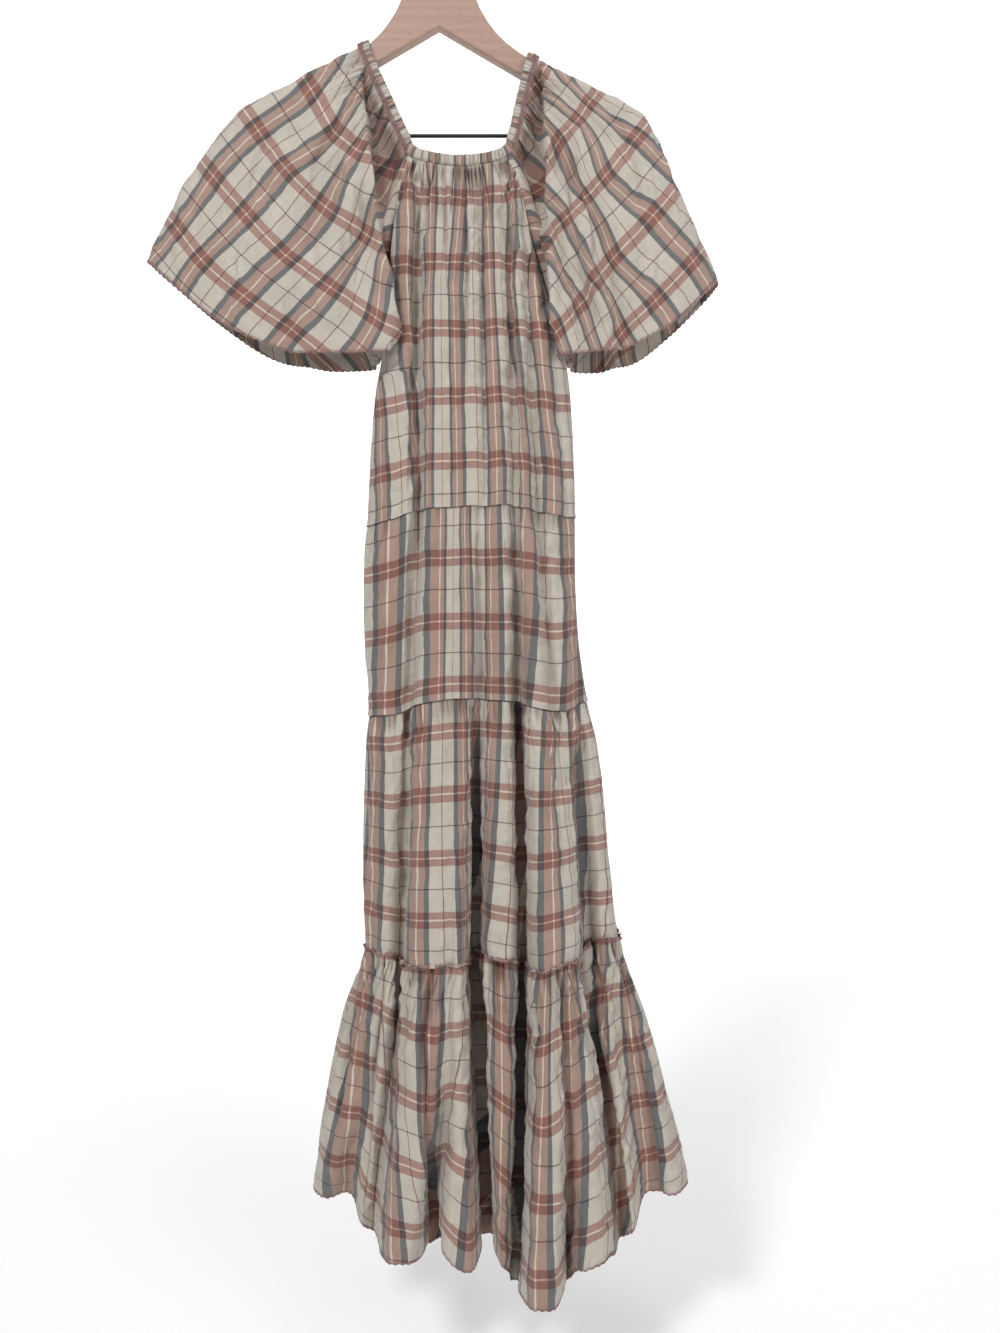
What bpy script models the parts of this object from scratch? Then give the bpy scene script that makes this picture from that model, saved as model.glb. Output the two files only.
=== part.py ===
"""Tiered cotton midi dress with flutter sleeves, hanging on a wooden hanger.

Every table is in millimetres. x runs to the viewer's right from the hanger's middle, out runs
towards the viewer from the hanger's plane, and drop runs down from the inside top of the hook.
"""

import math
from collections import namedtuple

import bmesh
import bpy
import numpy as np

MM = 0.001
CLOTH = 1.6
SEAM_GAP = 0.3
FRONT, BACK = 1, -1
# The body's cross-section is a rounded rectangle: 2 is an ellipse, and more is squarer.
SIDE_ROUNDNESS = 2.5
LINE_SAMPLES = 400
# Share of a panel's length over which its neck seam's shape dies away.
NECK_PULL = 0.3

# Neck seam, where the casing ends and the panels start, from one shoulder to the other.
# lean turns the casing's width from straight down, in degrees, towards +x.
NeckRow = namedtuple("NeckRow", "x out drop lean")
NECK = (
    NeckRow(-79, 0, 134, -60),
    NeckRow(-78.6, 6, 136, -60),
    NeckRow(-77.8, 9.5, 141, -61),
    NeckRow(-71, 16, 161, -63),
    NeckRow(-52, 22, 205, -62),
    NeckRow(-37, 25, 238, -58),
    NeckRow(-28, 25.5, 254, -30),
    NeckRow(-12, 26, 260, -6),
    NeckRow(22, 27, 265, 0),
    NeckRow(56, 26, 260, 6),
    NeckRow(72, 25.5, 252, 34),
    NeckRow(79, 25, 236, 66),
    NeckRow(86, 22, 205, 74),
    NeckRow(93, 16, 172, 72),
    NeckRow(96.8, 9.5, 153, 62),
    NeckRow(97.6, 6, 148, 59),
    NeckRow(98, 0, 146, 58),
)
LEFT_CORNER, RIGHT_CORNER = 6, 10

# The body's outline. Above the underarms left_out and right_out hold the raglan seams apart.
BodyRow = namedtuple("BodyRow", "drop left left_out right right_out front back")
BODY = (
    BodyRow(252, -28, 25.5, 72, 25.5, 27, 27),
    BodyRow(290, -38, 25, 82, 25, 33, 30),
    BodyRow(336, -45, 17, 93, 18, 35, 31),
    BodyRow(384, -50, 0, 108, 0, 36, 32),
    BodyRow(431, -54, 0, 123, 0, 37, 34),
    BodyRow(486, -63, 0, 131, 0, 38, 36),
    BodyRow(540, -68, 0, 134, 0, 40, 38),
    BodyRow(606, -71, 0, 136, 0, 42, 42),
    BodyRow(650, -74, 0, 136, 0, 44, 46),
    BodyRow(706, -75, 0, 138, 0, 46, 48),
    BodyRow(792, -70, 0, 149, 0, 46, 52),
    BodyRow(830, -73, 0, 158, 0, 48, 56),
    BodyRow(946, -76, 0, 170, 0, 50, 60),
    BodyRow(1034, -73, 0, 181, 0, 50, 60),
    BodyRow(1062, -82, 0, 191, 0, 54, 66),
    BodyRow(1096, -94, 0, 203, 0, 60, 74),
    BodyRow(1166, -109, 0, 224, 0, 72, 86),
    BodyRow(1216, -117, 0, 238, 0, 80, 92),
    BodyRow(1290, -125, 0, 252, 0, 88, 98),
    BodyRow(1340, -128, 0, 258, 0, 90, 100),
)

# Drop of each seam at shares of the way across, because the tiers hang lower in the middle.
SeamRow = namedtuple("SeamRow", "across waist hip knee hem")
SEAMS = (
    SeamRow(0.00, 613, 802, 1034, 1268),
    SeamRow(0.05, 614, 801, 1030, 1262),
    SeamRow(0.10, 613, 800, 1031, 1263),
    SeamRow(0.14, 611, 799, 1038, 1288),
    SeamRow(0.17, 609, 797, 1040, 1301),
    SeamRow(0.22, 603, 792, 1037, 1297),
    SeamRow(0.27, 600, 788, 1036, 1310),
    SeamRow(0.32, 600, 785, 1037, 1284),
    SeamRow(0.37, 600, 783, 1038, 1304),
    SeamRow(0.43, 599, 783, 1036, 1302),
    SeamRow(0.49, 598, 784, 1029, 1300),
    SeamRow(0.55, 598, 785, 1034, 1338),
    SeamRow(0.60, 596, 786, 1043, 1328),
    SeamRow(0.67, 598, 788, 1044, 1329),
    SeamRow(0.72, 601, 790, 1040, 1302),
    SeamRow(0.76, 602, 793, 1034, 1294),
    SeamRow(0.81, 603, 795, 1030, 1308),
    SeamRow(0.85, 605, 795, 1027, 1290),
    SeamRow(0.90, 606, 791, 1023, 1262),
    SeamRow(0.95, 605, 787, 1021, 1257),
    SeamRow(1.00, 603, 786, 1023, 1262),
)

# Long folds of the front. Each tuple holds the fold at the neck, waist, hip, knee and hem.
FOLD_DROPS = (300, 600, 790, 1048, 1320)
Fold = namedtuple("Fold", "name sharpness x out half")
FRONT_FOLDS = (
    Fold("left side pleat", 2, (-40, -52, -50, -52, -98), (0, 2, 5, 6, -36), (8, 9, 9, 9, 24)),
    Fold("left valley", 2, (-22, -18, -28, -36, -62), (-8, -15, -10, -15, -24), (7, 8, 8, 9, 14)),
    Fold("left panel", 4, (8, 14, 4, -2, -34), (2, 2, 6, 17, 10), (24, 34, 26, 27, 17)),
    Fold("panel dip", 2, (22, 20, 18, 14, -9), (-4, -3, -2, -4, -38), (11, 12, 12, 9, 11)),
    Fold("middle panel", 4, (30, 34, 28, 26, 28), (2, 1, 2, 6, 6), (12, 14, 12, 9, 17)),
    Fold("first deep valley", 2, (40, 46, 42, 37, 50), (-4, -4, -12, -40, -44), (7, 8, 9, 10, 10)),
    Fold("second deep valley", 2, (68, 76, 79, 84, 76), (-5, -11, -22, -28, -36), (7, 7, 9, 10, 9)),
    Fold("right panel", 4, (74, 85, 94, 112, 98), (5, 8, 13, 22, 22), (8, 10, 16, 23, 22)),
    Fold("right panel slit", 2, (84, 97, 112, 124, 124), (-4, -7, -6, -4, -22), (6, 7, 7, 7, 9)),
    Fold("right side panel", 4, (96, 112, 124, 130, 147), (0, 4, 4, 4, 16), (9, 11, 12, 10, 19)),
    Fold("third deep valley", 2, (102, 127, 140, 152, 178), (0, -5, -8, -22, -34), (6, 7, 8, 10, 11)),
    Fold("right corner", 2, (104, 131, 145, 172, 212), (0, 1, 3, -8, -36), (6, 6, 6, 12, 26)),
)
# The back has like folds, met in the other order and shallower.
BACK_DEPTH = 0.5
# Folds are whole over the middle of the body and die away towards its sides.
FOLD_MIDDLE = 1.5

# A sleeve's ribs, from the neck to its hem. top is the fold over the hanger's arm, inner is
# the raglan seam and then the underarm seam. hump is how far a rib stands off the arm's plane,
# and overhang is how far its cloth swings back over the body beside the inner line.
SleeveRow = namedtuple(
    "SleeveRow", "down top_x top_drop inner_x inner_drop inner_out hump sag overhang"
)
LEFT_SLEEVE = (
    SleeveRow(0.00, -79, 134, -29, 254, 25.5, 4, 0, 0),
    SleeveRow(0.20, -139, 168, -39, 290, 25, 17, 8, 0),
    SleeveRow(0.40, -201, 206, -47, 337, 17, 25, 16, 0),
    SleeveRow(0.60, -238, 254, -55, 386, 0, 32, 23, -5),
    SleeveRow(0.80, -267, 302, -60, 420, 0, 36, 29, -14),
    SleeveRow(1.00, -289, 349, -64, 447, 0, 36, 32, -24),
)
RIGHT_SLEEVE = (
    SleeveRow(0.00, 98, 146, 73, 252, 25.5, 4, 0, 0),
    SleeveRow(0.20, 150, 175, 84, 290, 25, 17, 7, 0),
    SleeveRow(0.40, 204, 208, 95, 337, 18, 25, 12, 0),
    SleeveRow(0.60, 229, 258, 112, 386, 0, 32, 16, 3),
    SleeveRow(0.80, 254, 315, 125, 420, 0, 36, 20, 8),
    SleeveRow(1.00, 278, 371, 131, 450, 0, 36, 22, 14),
)
SLEEVE_ARM_HALF = 9.5
SLEEVE_INNER_ROUND = 18
SLEEVE_INNER_CORNER = 2.5
# A low power makes a rib rise fast from its ends and stay full between them.
SLEEVE_FULLNESS = 0.4
SAG_POWER = 1.2
OVERHANG_START, OVERHANG_REACH = 0.02, 0.22
# The sleeve's inner line is open at the raglan seam and closes below it, as inner_out shrinks.
INNER_OPEN = 20
SLEEVE_FOLD_START = 0.35
# Folds that fan out from the neck gathers. at is the share of the way from the inner line to
# the top fold, at the neck and at the hem.
SleeveFold = namedtuple("SleeveFold", "at_neck at_hem half depth_neck depth_hem")
SLEEVE_FOLDS = (
    SleeveFold(0.16, 0.10, 0.060, -7, -3),
    SleeveFold(0.32, 0.20, 0.080, 7, 5),
    SleeveFold(0.46, 0.33, 0.055, -5, -6),
    SleeveFold(0.60, 0.50, 0.090, 3, 5),
    SleeveFold(0.74, 0.68, 0.070, -3, -4),
)

# Small gathers below each gathered seam, on one panel.
Gather = namedtuple("Gather", "waves depth reach")
NECK_GATHERS = Gather(11, 1.6, 26)
WAIST_GATHERS = Gather(13, 1.7, 38)
HIP_GATHERS = Gather(13, 2.0, 50)
KNEE_GATHERS = Gather(13, 3.2, 90)
SLEEVE_GATHERS = Gather(9, 1.6, 45)
SEAM_FLAT = 6
BODY_COLUMNS = 52
SLEEVE_ROWS, SLEEVE_COLUMNS = 8, 44
# A side edge this far from the hanger's plane is part of a raglan seam.
RAGLAN_APART = 12

CASING_WIDTH = 10.5
CASING_THICKNESS = 2.6
CASING_STEPS = 120
CASING_PUCKERS = 30
CASING_PUCKER_DEPTH = 0.7
CASING_GAP = 0.4
# Share of half the casing's width where its faces start to slope to its edges.
CASING_FLAT = 0.6

# Half of the hanger's outline: its upper edge from the middle to the tip, as x and drop.
HANGER_UPPER = ((0, 64), (16, 66), (28, 73), (36, 85), (41, 97), (48, 109), (57, 121), (67, 131),
                (80, 141), (100, 153), (140, 175), (190, 203))
HANGER_TIP = ((197, 209), (198, 217), (192, 226))
HANGER_APEX_DROP = 116
# The straight underside runs from the apex to this place near each tip.
HANGER_UNDER_END = (150, 204)
HANGER_THICKNESS = 12
HANGER_EDGE = 2
BAR_RADIUS = 1.8
BAR_DROP = 222
BAR_REACH = 182
HOOK_WIRE = 1.9
HOOK_INSIDE = 19
# The shank's root sits in the wood. It bends at the neck and runs into the open loop.
HOOK_SHANK = ((0, 84), (0, 62), (0, 52), (1.5, 47))
HOOK_LOOP_START, HOOK_LOOP_END, HOOK_LOOP_STEP = 50, -205, -17
# How far the shank's bore reaches above the wood.
BORE_OVER = 9
FIT_GAP = 0.3

COLOURS = {
    "plaid_cotton": ((0.80, 0.72, 0.64), 0.85, 0.0),
    "casing_cotton": ((0.70, 0.58, 0.54), 0.85, 0.0),
    "beech": ((0.66, 0.47, 0.36), 0.5, 0.0),
    "steel_wire": ((0.62, 0.62, 0.64), 0.25, 1.0),
    "black_sleeve": ((0.02, 0.02, 0.02), 0.5, 0.0),
}


def clear_scene():
    for obj in list(bpy.data.objects):
        bpy.data.objects.remove(obj, do_unlink=True)


def collection(name):
    made = bpy.data.collections.new(name)
    bpy.context.scene.collection.children.link(made)
    return made


def material(name):
    made = bpy.data.materials.new(name)
    made.use_nodes = True
    colour, roughness, metallic = COLOURS[name]
    shader = made.node_tree.nodes["Principled BSDF"]
    shader.inputs["Base Color"].default_value = (*colour, 1.0)
    shader.inputs["Roughness"].default_value = roughness
    shader.inputs["Metallic"].default_value = metallic
    return made


def smooth_through(knots, values, at):
    """A curve through the values that never overshoots them (a monotone cubic)."""
    knots, values, at = (np.asarray(a, float) for a in (knots, values, at))
    step = np.diff(knots)
    slope = np.diff(values) / step
    before, after = slope[:-1], slope[1:]
    same_way = before * after > 0
    weight_a, weight_b = 2 * step[1:] + step[:-1], step[1:] + 2 * step[:-1]
    safe_before = np.where(same_way, before, 1.0)
    safe_after = np.where(same_way, after, 1.0)
    mean = (weight_a + weight_b) / (weight_a / safe_before + weight_b / safe_after)
    tangent = np.concatenate([[slope[0]], np.where(same_way, mean, 0.0), [slope[-1]]])
    at = np.clip(at, knots[0], knots[-1])
    i = np.clip(np.searchsorted(knots, at) - 1, 0, len(step) - 1)
    t = (at - knots[i]) / step[i]
    return (
        values[i] * (1 + 2 * t) * (1 - t) ** 2
        + tangent[i] * step[i] * t * (1 - t) ** 2
        + values[i + 1] * t * t * (3 - 2 * t)
        + tangent[i + 1] * step[i] * t * t * (t - 1)
    )


def column(table, field, at):
    """One column of a table, read at any value of the table's first column."""
    return smooth_through([row[0] for row in table], [getattr(row, field) for row in table], at)


def ease(t):
    t = np.clip(t, 0, 1)
    return t * t * (3 - 2 * t)


def quarter_round(t):
    return np.sqrt(1 - (1 - np.clip(t, 0, 1)) ** 2)


def spread_evenly(line, shares):
    """Points of a dense line at these shares of its length."""
    along = np.concatenate([[0], np.cumsum(np.linalg.norm(np.diff(line, axis=0), axis=1))])
    at = np.asarray(shares) * along[-1]
    return np.stack([np.interp(at, along, line[:, k]) for k in range(line.shape[1])], axis=1)


def neck_line(first, last, shares):
    """x, out and drop of the neck seam between two rows of its table, and the casing's lean."""
    rows = np.array(NECK)
    chord = np.concatenate([[0], np.cumsum(np.linalg.norm(np.diff(rows[:, :3], axis=0), axis=1))])
    at = np.linspace(chord[first], chord[last], LINE_SAMPLES)
    x, out, drop, lean = (smooth_through(chord, rows[:, k], at) for k in range(4))
    steps = np.sqrt(np.diff(x) ** 2 + np.diff(out) ** 2 + np.diff(drop) ** 2)
    along = np.concatenate([[0], np.cumsum(steps)])
    return np.stack([np.interp(shares * along[-1], along, v) for v in (x, out, drop, lean)], axis=1)


def casing_width_direction(lean):
    """Unit vectors along the casing's width, from its free edge to the neck seam."""
    turn = np.radians(lean)
    return np.stack([np.sin(turn), 0 * turn, -np.cos(turn)], axis=1)


def fold_lift(x, drop, side, left, right):
    """How far the long folds push the cloth out at x, on the front or the back."""
    lift = np.zeros_like(x)
    met_at = x if side == FRONT else left + right - x
    for fold in FRONT_FOLDS:
        centre = smooth_through(FOLD_DROPS, fold.x, drop)
        depth = smooth_through(FOLD_DROPS, fold.out, drop)
        half = smooth_through(FOLD_DROPS, fold.half, drop)
        lift += depth * np.exp(-(np.abs((met_at - centre) / half) ** fold.sharpness))
    return lift if side == FRONT else lift * BACK_DEPTH


def body_points(drops, side, shares):
    """(x, out) on one side of the body, for each drop at its share of the cloth across."""
    bulge_field = "front" if side == FRONT else "back"
    left, left_out, right, right_out, bulge = (
        column(BODY, field, drops)[:, None]
        for field in ("left", "left_out", "right", "right_out", bulge_field)
    )
    t = (1 - np.cos(np.linspace(0, math.pi, LINE_SAMPLES))) / 2
    x = left + (right - left) * t
    cap = (1 - np.abs(2 * t - 1) ** SIDE_ROUNDNESS) ** (1 / SIDE_ROUNDNESS)
    seam_out = left_out + (right_out - left_out) * t
    out = seam_out + (bulge - seam_out) * cap
    middle = np.clip(FOLD_MIDDLE * cap, 0, 1) ** 2
    out += fold_lift(x, drops[:, None], side, left, right) * middle
    lines = np.stack([x, out * side], axis=2)
    return np.array([spread_evenly(line, [share])[0] for line, share in zip(lines, shares)])


def gathers(shares, below, gather):
    """Small waves that start flat at a gathered seam, then die away below it and at the sides."""
    fade = (1 - np.exp(-below / SEAM_FLAT)) * np.exp(-below / gather.reach)
    fade *= np.sin(math.pi * shares) ** 0.5
    return gather.depth * np.sin(2 * math.pi * gather.waves * shares) * fade


def outward(points, facing, top, bottom=None):
    """Unit normals of a panel's grid of points, facing 1 or -1 way.

    top and bottom are the directions in which the cloth leaves a seam, so that the panels on
    its two sides get the same normals there.
    """
    across = np.gradient(points, axis=1)
    down = np.gradient(points, axis=0)
    down[0] = top
    if bottom is not None:
        down[-1] = bottom
    normal = np.cross(across, down) * facing
    return normal / np.linalg.norm(normal, axis=2, keepdims=True)


def to_space(x, out, drop):
    return np.stack([x, -out, -drop], axis=-1)


def body_panel(top, bottom, side, rows, gather):
    """Points and normals of one tier's front or back, from its upper seam to its lower one."""
    shares = np.linspace(0, 1, BODY_COLUMNS + 1)
    neck = neck_line(LEFT_CORNER, RIGHT_CORNER, shares)
    plumb = np.array([(0, 0, -1)])
    leaving = casing_width_direction(neck[:, 3]) if top == "neck" else plumb
    upper = neck[:, 2] if top == "neck" else column(SEAMS, top, shares)
    lower = column(SEAMS, bottom, shares)
    to_neck = neck[:, :2] * (1, side) - body_points(upper, side, shares)
    grid = []
    for down in np.linspace(0, 1, rows + 1):
        drops = upper + (lower - upper) * down
        line = body_points(drops, side, shares)
        if top == "neck":
            line += to_neck * (1 - ease(down / NECK_PULL))
        grid.append(to_space(line[:, 0], line[:, 1], drops))
    points = np.array(grid)
    normals = outward(points, -side, leaving, plumb)
    points[0] += leaving * SEAM_GAP / 2
    points[-1] -= plumb * SEAM_GAP / 2
    open_side_seams(points, normals, (side, side), (1, -1))
    wave = gathers(shares, np.linalg.norm(points - points[:1], axis=2), gather)
    return points + normals * wave[..., None], normals


def square_to(normals, directions):
    """The normals with their part along these unit directions taken out."""
    along = (normals * directions).sum(axis=-1, keepdims=True)
    turned = normals - directions * along
    return turned / np.linalg.norm(turned, axis=-1, keepdims=True)


def open_side_seams(points, normals, sides, inwards):
    """Leaves the seam gap at both side edges of a panel, and turns their normals.

    Where a front meets a back, the edge's wall lies in the plane between them. Beside a raglan
    seam it faces straight out.
    """
    for end, side, inward in zip((0, -1), sides, inwards):
        apart = np.clip(np.abs(points[:, end, 1]) / RAGLAN_APART, 0, 1)[:, None]
        flat = square_to(normals[:, end], np.array([(0, 1, 0)]))
        turned = flat * (1 - apart) + np.array([(0, -side, 0)]) * apart
        normals[:, end] = turned / np.linalg.norm(turned, axis=1, keepdims=True)
        points[:, end, 1] -= side * SEAM_GAP / 2 * (1 - apart[:, 0])
        points[:, end, 0] += inward * SEAM_GAP / 2 * apart[:, 0]


def sleeve_rib(table, down, side, shares):
    """One rib of a sleeve's front or back, from its inner line to the fold over the arm."""
    row = SleeveRow(down, *(column(table, field, down) for field in SleeveRow._fields[1:]))
    a = (1 - np.cos(np.linspace(0, math.pi, LINE_SAMPLES))) / 2
    across, fall = row.top_x - row.inner_x, row.top_drop - row.inner_drop
    length = math.hypot(across, fall)
    swing = np.sin(math.pi * np.clip((a - OVERHANG_START) / OVERHANG_REACH, 0, 1)) ** 2
    x = row.inner_x + across * a - row.overhang * swing
    drop = row.inner_drop + fall * a + row.sag * np.sin(math.pi * a) ** SAG_POWER
    out = SLEEVE_ARM_HALF + row.hump * (4 * a * (1 - a)) ** SLEEVE_FULLNESS
    for fold in SLEEVE_FOLDS:
        at = fold.at_neck + (fold.at_hem - fold.at_neck) * down
        depth = fold.depth_neck + (fold.depth_hem - fold.depth_neck) * down
        out += depth * np.exp(-(((a - at) / fold.half) ** 2)) * ease(down / SLEEVE_FOLD_START)
    to_corner = np.clip(1 - a * length / SLEEVE_INNER_ROUND, 0, 1)
    closed = (1 - to_corner**2) ** (1 / SLEEVE_INNER_CORNER)
    shut = 1 - np.clip(row.inner_out / INNER_OPEN, 0, 1)
    raglan = (row.inner_out - SLEEVE_ARM_HALF) * (1 - a) ** 3
    out = out * shut * closed + (out + raglan) * (1 - shut)
    out *= quarter_round((1 - a) * length / SLEEVE_ARM_HALF)
    return spread_evenly(np.stack([x, out * side, drop], axis=1), shares)


def sleeve_panel(table, rows, columns, gather):
    """A sleeve from its front inner line over the arm to its back inner line."""
    half = np.linspace(0, 1, columns // 2 + 1)
    left = table is LEFT_SLEEVE
    if left:
        neck = neck_line(0, LEFT_CORNER, 1 - half)
    else:
        neck = neck_line(RIGHT_CORNER, len(NECK) - 1, half)
    grid = []
    for down in np.linspace(0, 1, rows + 1):
        pull = 1 - ease(down / NECK_PULL)
        sides = []
        for side in (FRONT, BACK):
            line = sleeve_rib(table, down, side, half)
            to_neck = neck[:, :3] * (1, side, 1) - sleeve_rib(table, 0, side, half)
            sides.append(line + to_neck * pull)
        rib = np.concatenate([sides[0], sides[1][-2::-1]])
        grid.append(to_space(rib[:, 0], rib[:, 1], rib[:, 2]))
    points = np.array(grid)
    leaving = casing_width_direction(np.concatenate([neck[:, 3], neck[-2::-1, 3]]))
    normals = outward(points, 1 if left else -1, leaving)
    points[0] += leaving * SEAM_GAP / 2
    open_side_seams(points, normals, (FRONT, BACK), (-1, -1) if left else (1, 1))
    shares = np.linspace(0, 1, columns + 1)
    wave = gathers(shares, np.linalg.norm(points - points[:1], axis=2), gather)
    return points + normals * wave[..., None], normals


def skin_wall(name, points, normals, finish, group):
    """A cloth wall between two skins, half its thickness to each side of the points."""
    rows, columns = points.shape[:2]
    shell = bmesh.new()
    skins = []
    for offset in (CLOTH / 2, -CLOTH / 2):
        skin = (points + normals * offset) * MM
        skins.append([[shell.verts.new(p) for p in row] for row in skin])
    outer, inner = skins
    for i in range(rows - 1):
        for j in range(columns - 1):
            square = ((i, j), (i, j + 1), (i + 1, j + 1), (i + 1, j))
            shell.faces.new([outer[r][c] for r, c in square])
            shell.faces.new([inner[r][c] for r, c in reversed(square)])
    rim = (
        [(0, j) for j in range(columns)]
        + [(i, columns - 1) for i in range(1, rows)]
        + [(rows - 1, j) for j in range(columns - 2, -1, -1)]
        + [(i, 0) for i in range(rows - 2, 0, -1)]
    )
    for (a, b), (c, d) in zip(rim, rim[1:] + rim[:1]):
        shell.faces.new([outer[c][d], outer[a][b], inner[a][b], inner[c][d]])
    bmesh.ops.recalc_face_normals(shell, faces=shell.faces)
    return add_mesh(name, shell, finish, group)


def add_mesh(name, shell, finish, group):
    mesh = bpy.data.meshes.new(name)
    shell.to_mesh(mesh)
    shell.free()
    mesh.materials.append(finish)
    mesh.shade_smooth()
    mesh.set_sharp_from_angle(angle=math.radians(50))
    obj = bpy.data.objects.new(name, mesh)
    group.objects.link(obj)
    return obj


def casing_ring():
    """Centre line of the neck casing, right round, with the direction of its width."""
    neck = neck_line(0, len(NECK) - 1, np.linspace(0, 1, CASING_STEPS // 2 + 1))
    across = casing_width_direction(neck[:, 3])
    front = to_space(neck[:, 0], neck[:, 1], neck[:, 2]) - across * (CASING_WIDTH / 2 + CASING_GAP)
    back = front * (1, -1, 1)
    return np.concatenate([front, back[-2:0:-1]]), np.concatenate([across, across[-2:0:-1]])


def neck_casing(finish, group):
    """A puckered band all round the neck, with its own thickness."""
    centre, across = casing_ring()
    along = np.roll(centre, -1, axis=0) - np.roll(centre, 1, axis=0)
    out = np.cross(across, along)
    out /= np.linalg.norm(out, axis=1, keepdims=True)
    turn = np.arange(len(centre)) * 2 * math.pi * CASING_PUCKERS / len(centre)
    pucker = CASING_PUCKER_DEPTH * np.sin(turn)[:, None]
    edge, thick = CASING_WIDTH / 2, CASING_THICKNESS / 2
    flat = edge * CASING_FLAT
    section = ((-edge, 0), (-flat, thick), (flat, thick), (edge, 0), (flat, -thick), (-flat, -thick))
    shell = bmesh.new()
    loops = []
    for w, t in section:
        swell = pucker * (t > 0)
        ring = (centre + across * w + out * (t + swell)) * MM
        loops.append([shell.verts.new(p) for p in ring])
    for k, loop in enumerate(loops):
        other = loops[(k + 1) % len(loops)]
        for i in range(len(loop)):
            j = (i + 1) % len(loop)
            shell.faces.new([loop[i], loop[j], other[j], other[i]])
    bmesh.ops.recalc_face_normals(shell, faces=shell.faces)
    return add_mesh("neck_casing", shell, finish, group)


def to_mesh_object(obj, group):
    """The curve's evaluated form as a mesh object with welded caps."""
    graph = bpy.context.evaluated_depsgraph_get()
    mesh = bpy.data.meshes.new_from_object(obj.evaluated_get(graph))
    shell = bmesh.new()
    shell.from_mesh(mesh)
    bmesh.ops.remove_doubles(shell, verts=shell.verts, dist=1e-6)
    shell.to_mesh(mesh)
    shell.free()
    made = bpy.data.objects.new(obj.name + "_solid", mesh)
    made.matrix_world = obj.matrix_world
    name = obj.name
    group.objects.link(made)
    bpy.data.objects.remove(obj, do_unlink=True)
    made.name = name
    return made


def cylinder(name, radius, start, end, group):
    """A round bar between two points given in millimetres."""
    start, end = np.array(start, float) * MM, np.array(end, float) * MM
    shell = bmesh.new()
    length = float(np.linalg.norm(end - start))
    bmesh.ops.create_cone(
        shell, cap_ends=True, segments=20, radius1=radius * MM, radius2=radius * MM, depth=length
    )
    mesh = bpy.data.meshes.new(name)
    shell.to_mesh(mesh)
    shell.free()
    obj = bpy.data.objects.new(name, mesh)
    obj.location = (start + end) / 2
    if abs(end[0] - start[0]) > abs(end[2] - start[2]):
        obj.rotation_euler = (0, math.pi / 2, 0)
    group.objects.link(obj)
    return obj


def hanger_outline():
    """The hanger's outline, right round, from its upper edge, its tips and its straight underside."""
    half = [*HANGER_UPPER, *HANGER_TIP, HANGER_UNDER_END]
    left = [(-x, d) for x, d in reversed(half) if x > 0]
    return half + [(0, HANGER_APEX_DROP)] + left


def hanger_wood(finish, group, cutters):
    curve = bpy.data.curves.new("hanger_wood", "CURVE")
    curve.dimensions = "2D"
    curve.fill_mode = "BOTH"
    curve.extrude = (HANGER_THICKNESS / 2 - HANGER_EDGE) * MM
    curve.bevel_depth = HANGER_EDGE * MM
    curve.bevel_resolution = 1
    curve.offset = -HANGER_EDGE * MM
    outline = hanger_outline()
    spline = curve.splines.new("POLY")
    spline.points.add(len(outline) - 1)
    for point, (x, drop) in zip(spline.points, outline):
        point.co = (x * MM, -drop * MM, 0, 1)
    spline.use_cyclic_u = True
    obj = bpy.data.objects.new("hanger_wood", curve)
    obj.rotation_euler = (math.pi / 2, 0, 0)
    group.objects.link(obj)
    wood = to_mesh_object(obj, group)
    wood.data.materials.clear()
    wood.data.materials.append(finish)
    reach = BAR_REACH + FIT_GAP
    root = HOOK_SHANK[0][1]
    bores = (
        ("bar_bore", BAR_RADIUS, (-reach, 0, -BAR_DROP), (reach, 0, -BAR_DROP)),
        ("hook_bore", HOOK_WIRE, (0, 0, -root - FIT_GAP), (0, 0, BORE_OVER - HANGER_UPPER[0][1])),
    )
    for name, radius, start, end in bores:
        cutter = cylinder(name, radius + FIT_GAP, start, end, cutters)
        cutter.hide_render = True
        cutter.display_type = "WIRE"
        cut = wood.modifiers.new(name, "BOOLEAN")
        cut.operation = "DIFFERENCE"
        cut.object = cutter
    return wood


def hanger_bar(finish, group):
    left, right = (-BAR_REACH, 0, -BAR_DROP), (BAR_REACH, 0, -BAR_DROP)
    bar = cylinder("hanger_bar", BAR_RADIUS, left, right, group)
    bar.data.materials.append(finish)
    bar.data.shade_smooth()
    bar.data.set_sharp_from_angle(angle=math.radians(40))
    return bar


def hook_route():
    """Straight shank, an S-bend and an open loop, in x and drop."""
    radius = HOOK_INSIDE + HOOK_WIRE
    centre = HOOK_INSIDE
    route = list(HOOK_SHANK)
    for degrees in range(HOOK_LOOP_START, HOOK_LOOP_END - 1, HOOK_LOOP_STEP):
        angle = math.radians(degrees)
        route.append((radius * math.cos(angle), centre + radius * math.sin(angle)))
    return route


def hanger_hook(finish, group):
    curve = bpy.data.curves.new("hanger_hook", "CURVE")
    curve.dimensions = "3D"
    curve.bevel_depth = HOOK_WIRE * MM
    curve.bevel_resolution = 2
    curve.use_fill_caps = True
    route = hook_route()
    spline = curve.splines.new("POLY")
    spline.points.add(len(route) - 1)
    for point, (x, drop) in zip(spline.points, route):
        point.co = (x * MM, 0, -drop * MM, 1)
    obj = bpy.data.objects.new("hanger_hook", curve)
    curve.materials.append(finish)
    group.objects.link(obj)
    return obj


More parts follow.
